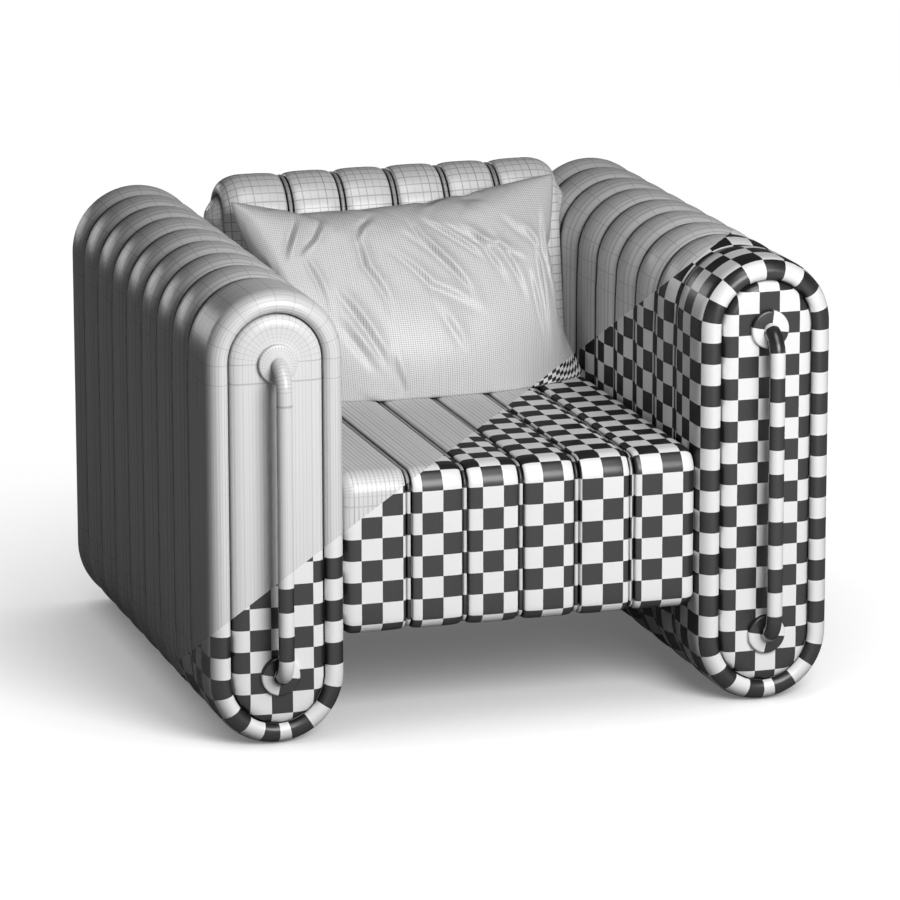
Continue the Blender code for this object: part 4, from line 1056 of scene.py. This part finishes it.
def fold_height(u, v, points, height):
    """One fold: a narrow valley along a line of points and a soft ridge beside it, both Gaussians of
    the distance across, that fade out towards its ends."""
    line = np.array(points) * (PILLOW_WIDTH / 2, PILLOW_HEIGHT / 2)
    place = joined(u * PILLOW_WIDTH / 2, v * PILLOW_HEIGHT / 2)
    lengths = np.hypot(*np.diff(line, axis=0).T)
    nearest = np.full(u.shape, np.inf)
    away, share = np.zeros(u.shape), np.zeros(u.shape)
    for k in range(len(lengths)):
        way = (line[k + 1] - line[k]) / lengths[k]
        along = np.clip((place - line[k]) @ way, 0, lengths[k])
        gap = place - line[k] - along[:, None] * way
        reach = np.hypot(*gap.T)
        closer = reach < nearest
        nearest = np.where(closer, reach, nearest)
        away = np.where(closer, gap @ (-way[1], way[0]), away)
        share = np.where(closer, (lengths[:k].sum() + along) / lengths.sum(), share)
    beyond = np.sqrt(np.maximum(nearest ** 2 - away ** 2, 0))
    fade = np.exp(-(beyond / FOLD_TAPER) ** 2)
    fade = fade * np.sin(math.pi * (FOLD_END + (1 - 2 * FOLD_END) * share))
    valley = np.exp(-(away / FOLD_VALLEY) ** 2)
    ridge = np.exp(-((away - FOLD_OFFSET) / FOLD_RIDGE) ** 2)
    return FOLD_GAIN * height * fade * (FOLD_RIDGE_SHARE * ridge - valley)


turn = np.linspace(-1, 3, 2 * PILLOW_COLUMNS + 1)[None, :]
u = np.where(turn <= 1, turn, 2 - turn)
v = np.linspace(-1, 1, PILLOW_ROWS + 1)[:, None]
flat_y = np.where(turn <= 1, -1, 1) * PILLOW_FLAT * np.sqrt(np.maximum(1 - u * u, 0) * (1 - v * v))
points = joined(u * PILLOW_WIDTH / 2, flat_y, v * PILLOW_HEIGHT / 2)
# The pillow's lines are printed deep and never faint, partly as print and partly as painted shade: they
# darken the whole pillow for its shaded lower part.
pillow_satin = satin("pillow_satin_printed_polyester", 0.16, 0.16, 0.85, 0.72,
                     roughness=0.42, faintest=0.75)
# The lower front is pulled out furthest, so the lines are counted closer there and end up even. The
# checks show at a corner alone, where the cloth is pulled less.
pull = 1 + PILLOW_STRETCH * smooth((PULL_FROM - (v[1:] + v[:-1]) / 2) / PULL_RUN)
climb = np.concatenate(([[0.0]], np.cumsum(pull, axis=0))) * PILLOW_HEIGHT / PILLOW_ROWS
checks = joined(u * PILLOW_WIDTH / 2 / PILLOW_CHECK,
                (CORNER_PULL * climb + (1 - CORNER_PULL) * v * PILLOW_HEIGHT / 2) / PILLOW_CHECK)
threads = joined(u * PILLOW_WIDTH / 2 / PILLOW_THREADS, climb / PILLOW_THREADS)
# Painted shade along the edge seam, where the two panels meet.
painted_shade = np.where((np.abs(u) == 1) | (np.abs(v) == 1), PILLOW_SEAM_SHADE, 0.0)
pillow = cloth_surface("pillow_cover_cloth", points, checks, threads, painted_shade, columns_meet=True)
blown = inflate(pillow, PILLOW_FRAMES, PILLOW_BLOW)
pillow.data.vertices.foreach_set("co", blown.ravel())
refine(pillow)
places = read_places(pillow.data)
half_x, half_y, half_z = np.abs(places).max(axis=0)
u, depth, v = (places / (half_x, half_y, half_z)).T
waist_u = np.abs(u[np.abs(v) < MIDDLE_BAND]).max()
waist_v = np.abs(v[np.abs(u) < MIDDLE_BAND]).max()
u, v = u / (1 - (1 - waist_u) * (1 - v * v)), v / (1 - (1 - waist_v) * (1 - u * u))
low, high = (PILLOW_CORNERS[i][0] + (u[:, None] + 1) / 2 * (PILLOW_CORNERS[i][1] - PILLOW_CORNERS[i][0])
             for i in (0, 1))
middle = low + (v[:, None] + 1) / 2 * (high - low)
open_u, open_v = np.maximum(1 - u * u, 0), np.maximum(1 - v * v, 0)
middle[:, 2] -= PILLOW_SAG * open_u * (1 - SAG_SLANT * u) * smooth(v)
middle[:, 2] += PILLOW_LIFT * open_u * smooth(-v)
middle[:, 1] -= PILLOW_CREEP * open_u * smooth(-v)
middle[:, 0] -= PILLOW_WAIST * open_v * (1 - WAIST_SLANT * v) * u ** 3
up = PILLOW_CORNERS[1].mean(axis=0) - PILLOW_CORNERS[0].mean(axis=0)
tilt = math.atan2(up[1], up[2]) - PILLOW_ROLL * smooth(-v)
outward = joined(0.0, -np.cos(tilt), np.sin(tilt))
thick = np.where(depth < 0, PILLOW_FRONT, PILLOW_REAR) * -depth * (1 - PILLOW_BELLY * v)
folds = sum(fold_height(u, v, line, height) for line, height in FOLDS)
thick = thick + folds * smooth(-depth / FOLD_BAND)
outward[depth > 0] = outward[depth > 0] * (1, 1, REAR_RISE)
points = middle + thick[:, None] * outward
points[:, 2] = np.maximum(points[:, 2], SEAT_TOP + ON_SEAT)
points[:, 1] = np.minimum(points[:, 1], back_face(points[:, 2]) - ON_BACK)
pillow.data.vertices.foreach_set("co", points.ravel())
pillow.data.update()
pillow.data.shade_smooth()
upholster(pillow, pillow_satin, "pillow_cover", body="pillow")

# Pillow insert. A plain cotton bag of fibre inside the cover, a little smaller all round.
INSERT_SHARE = 0.84
INSERT_CLEAR = 0.0040


def plain(name, colours, scales, detail, low, high, roughness, metallic=0.0, relief=0.0, strength=0.3):
    """One solid finish: noise stretched by scales per metre mixes two colours between low and high."""
    material, tree = new_tree(name)
    place = add_node(tree, "TexCoord").outputs["Object"]
    scaled = add_node(tree, "VectorMath", {"operation": "MULTIPLY"}, {0: place, 1: scales})
    figure = add_node(tree, "TexNoise", None, {"Vector": scaled, "Scale": 1.0, "Detail": detail})
    share = add_node(tree, "MapRange", None, {"Value": figure, "From Min": low, "From Max": high})
    colour = add_node(tree, "Mix", {"data_type": "RGBA"},
                      {"Factor": share, "A": linear(colours[0]), "B": linear(colours[1])})
    grain = add_node(tree, "Bump", None,
                     {"Height": figure, "Strength": strength, "Distance": relief})
    skin = add_node(tree, "BsdfPrincipled", None,
                    {"Base Color": colour, "Roughness": roughness,
                     "Metallic": metallic, "Normal": grain})
    add_node(tree, "OutputMaterial", None, {"Surface": skin})
    return material


# Cotton is a matt off-white with a fine even weave.
cotton = plain("insert_plain_white_cotton", ("#E4E0D6", "#F2EFE8"), (900.0, 900.0, 900.0), 2.0,
               0.0, 1.0, 0.9, relief=0.0003, strength=0.2)
insert = new_object("pillow_insert_bag", pillow.data.copy())
insert.data.materials.clear()
core = points.mean(axis=0)
shrunk = core + (points - core) * INSERT_SHARE
shrunk[:, 2] = np.maximum(shrunk[:, 2], SEAT_TOP + INSERT_CLEAR)
insert.data.vertices.foreach_set("co", shrunk.ravel())
insert.data.update()
upholster(insert, cotton, "pillow_insert", body="pillow")

# Frame. What the covers hide: beech rails and uprights doweled together, plywood boards behind the
# panels, zinc-plated tie rods, polyester webbing, moulded foam, nylon glides and a black dust cloth.
BEECH = ("#D2A878", "#B98A5A")
ALONG, ACROSS = 9.0, 260.0

# Beech is pale and even, with short darker flecks along the grain. Each part's grain runs its length.
beech_along_x, beech_along_y, beech_along_z = (
    plain(name, BEECH, scales, 4.0, 0.35, 0.70, 0.55, relief=0.0003)
    for name, scales in (("beech_oiled_grain_across", (ALONG, ACROSS, ACROSS)),
                         ("beech_oiled_grain_deep", (ACROSS, ALONG, ACROSS)),
                         ("beech_oiled_grain_upright", (ACROSS, ACROSS, ALONG))))
# Birch plywood is paler, with broad soft figure.
birch = plain("birch_plywood_raw", ("#E0C79C", "#CDAE7E"), (70.0, 70.0, 6.0), 3.0, 0.30, 0.75, 0.60,
              relief=0.0002)
# Nylon is dull charcoal, moulded, with a fine grain.
nylon = plain("nylon_moulded_charcoal", ("#2A2A2C", "#343437"), (900.0, 900.0, 900.0), 2.0, 0.3, 0.7,
              0.50, relief=0.0001)
# Zinc plating is bright grey with a slightly cloudy passivation.
zinc = plain("steel_bright_zinc", ("#B9BCC0", "#D3D5D6"), (90.0, 90.0, 90.0), 3.0, 0.3, 0.7, 0.32,
             metallic=1.0, relief=0.0001)
# Webbing is woven black polyester with a fine pale fleck of yarn.
webbing = plain("webbing_woven_black_polyester", ("#1D1D1F", "#3A3A3D"), (420.0, 420.0, 900.0), 1.0,
                0.45, 0.60, 0.75, relief=0.0004)
# Foam is pale cream, matt and full of small open pores.
foam = plain("foam_moulded_cream_open_cell", ("#EDE3BF", "#DDD1A6"), (700.0, 700.0, 700.0), 2.0,
             0.35, 0.65, 0.95, relief=0.0006)
# Dust cloth is thin black spunbond, matt, with a faint fibre pattern.
dust = plain("dust_cloth_black_spunbond", ("#141415", "#242426"), (500.0, 500.0, 500.0), 5.0,
             0.35, 0.65, 0.90, relief=0.0003)
FINISHES = (
    ("_arm_upper_rail", beech_along_y), ("_arm_seat_rail", beech_along_y),
    ("_arm_lower_rail", beech_along_y), ("seat_right_rail", beech_along_y),
    ("seat_left_rail", beech_along_y), ("_rail", beech_along_x), ("_upright", beech_along_z),
    ("_board", birch), ("_glide", nylon), ("_tie_rod", zinc), ("_webbing", webbing),
    ("_foam", foam), ("_dust_cover", dust))
for name, node in NODES.items():
    finish = next((finish for ending, finish in FINISHES if name.endswith(ending)), None)
    if finish:
        node.data.materials.clear()
        node.data.materials.append(finish)
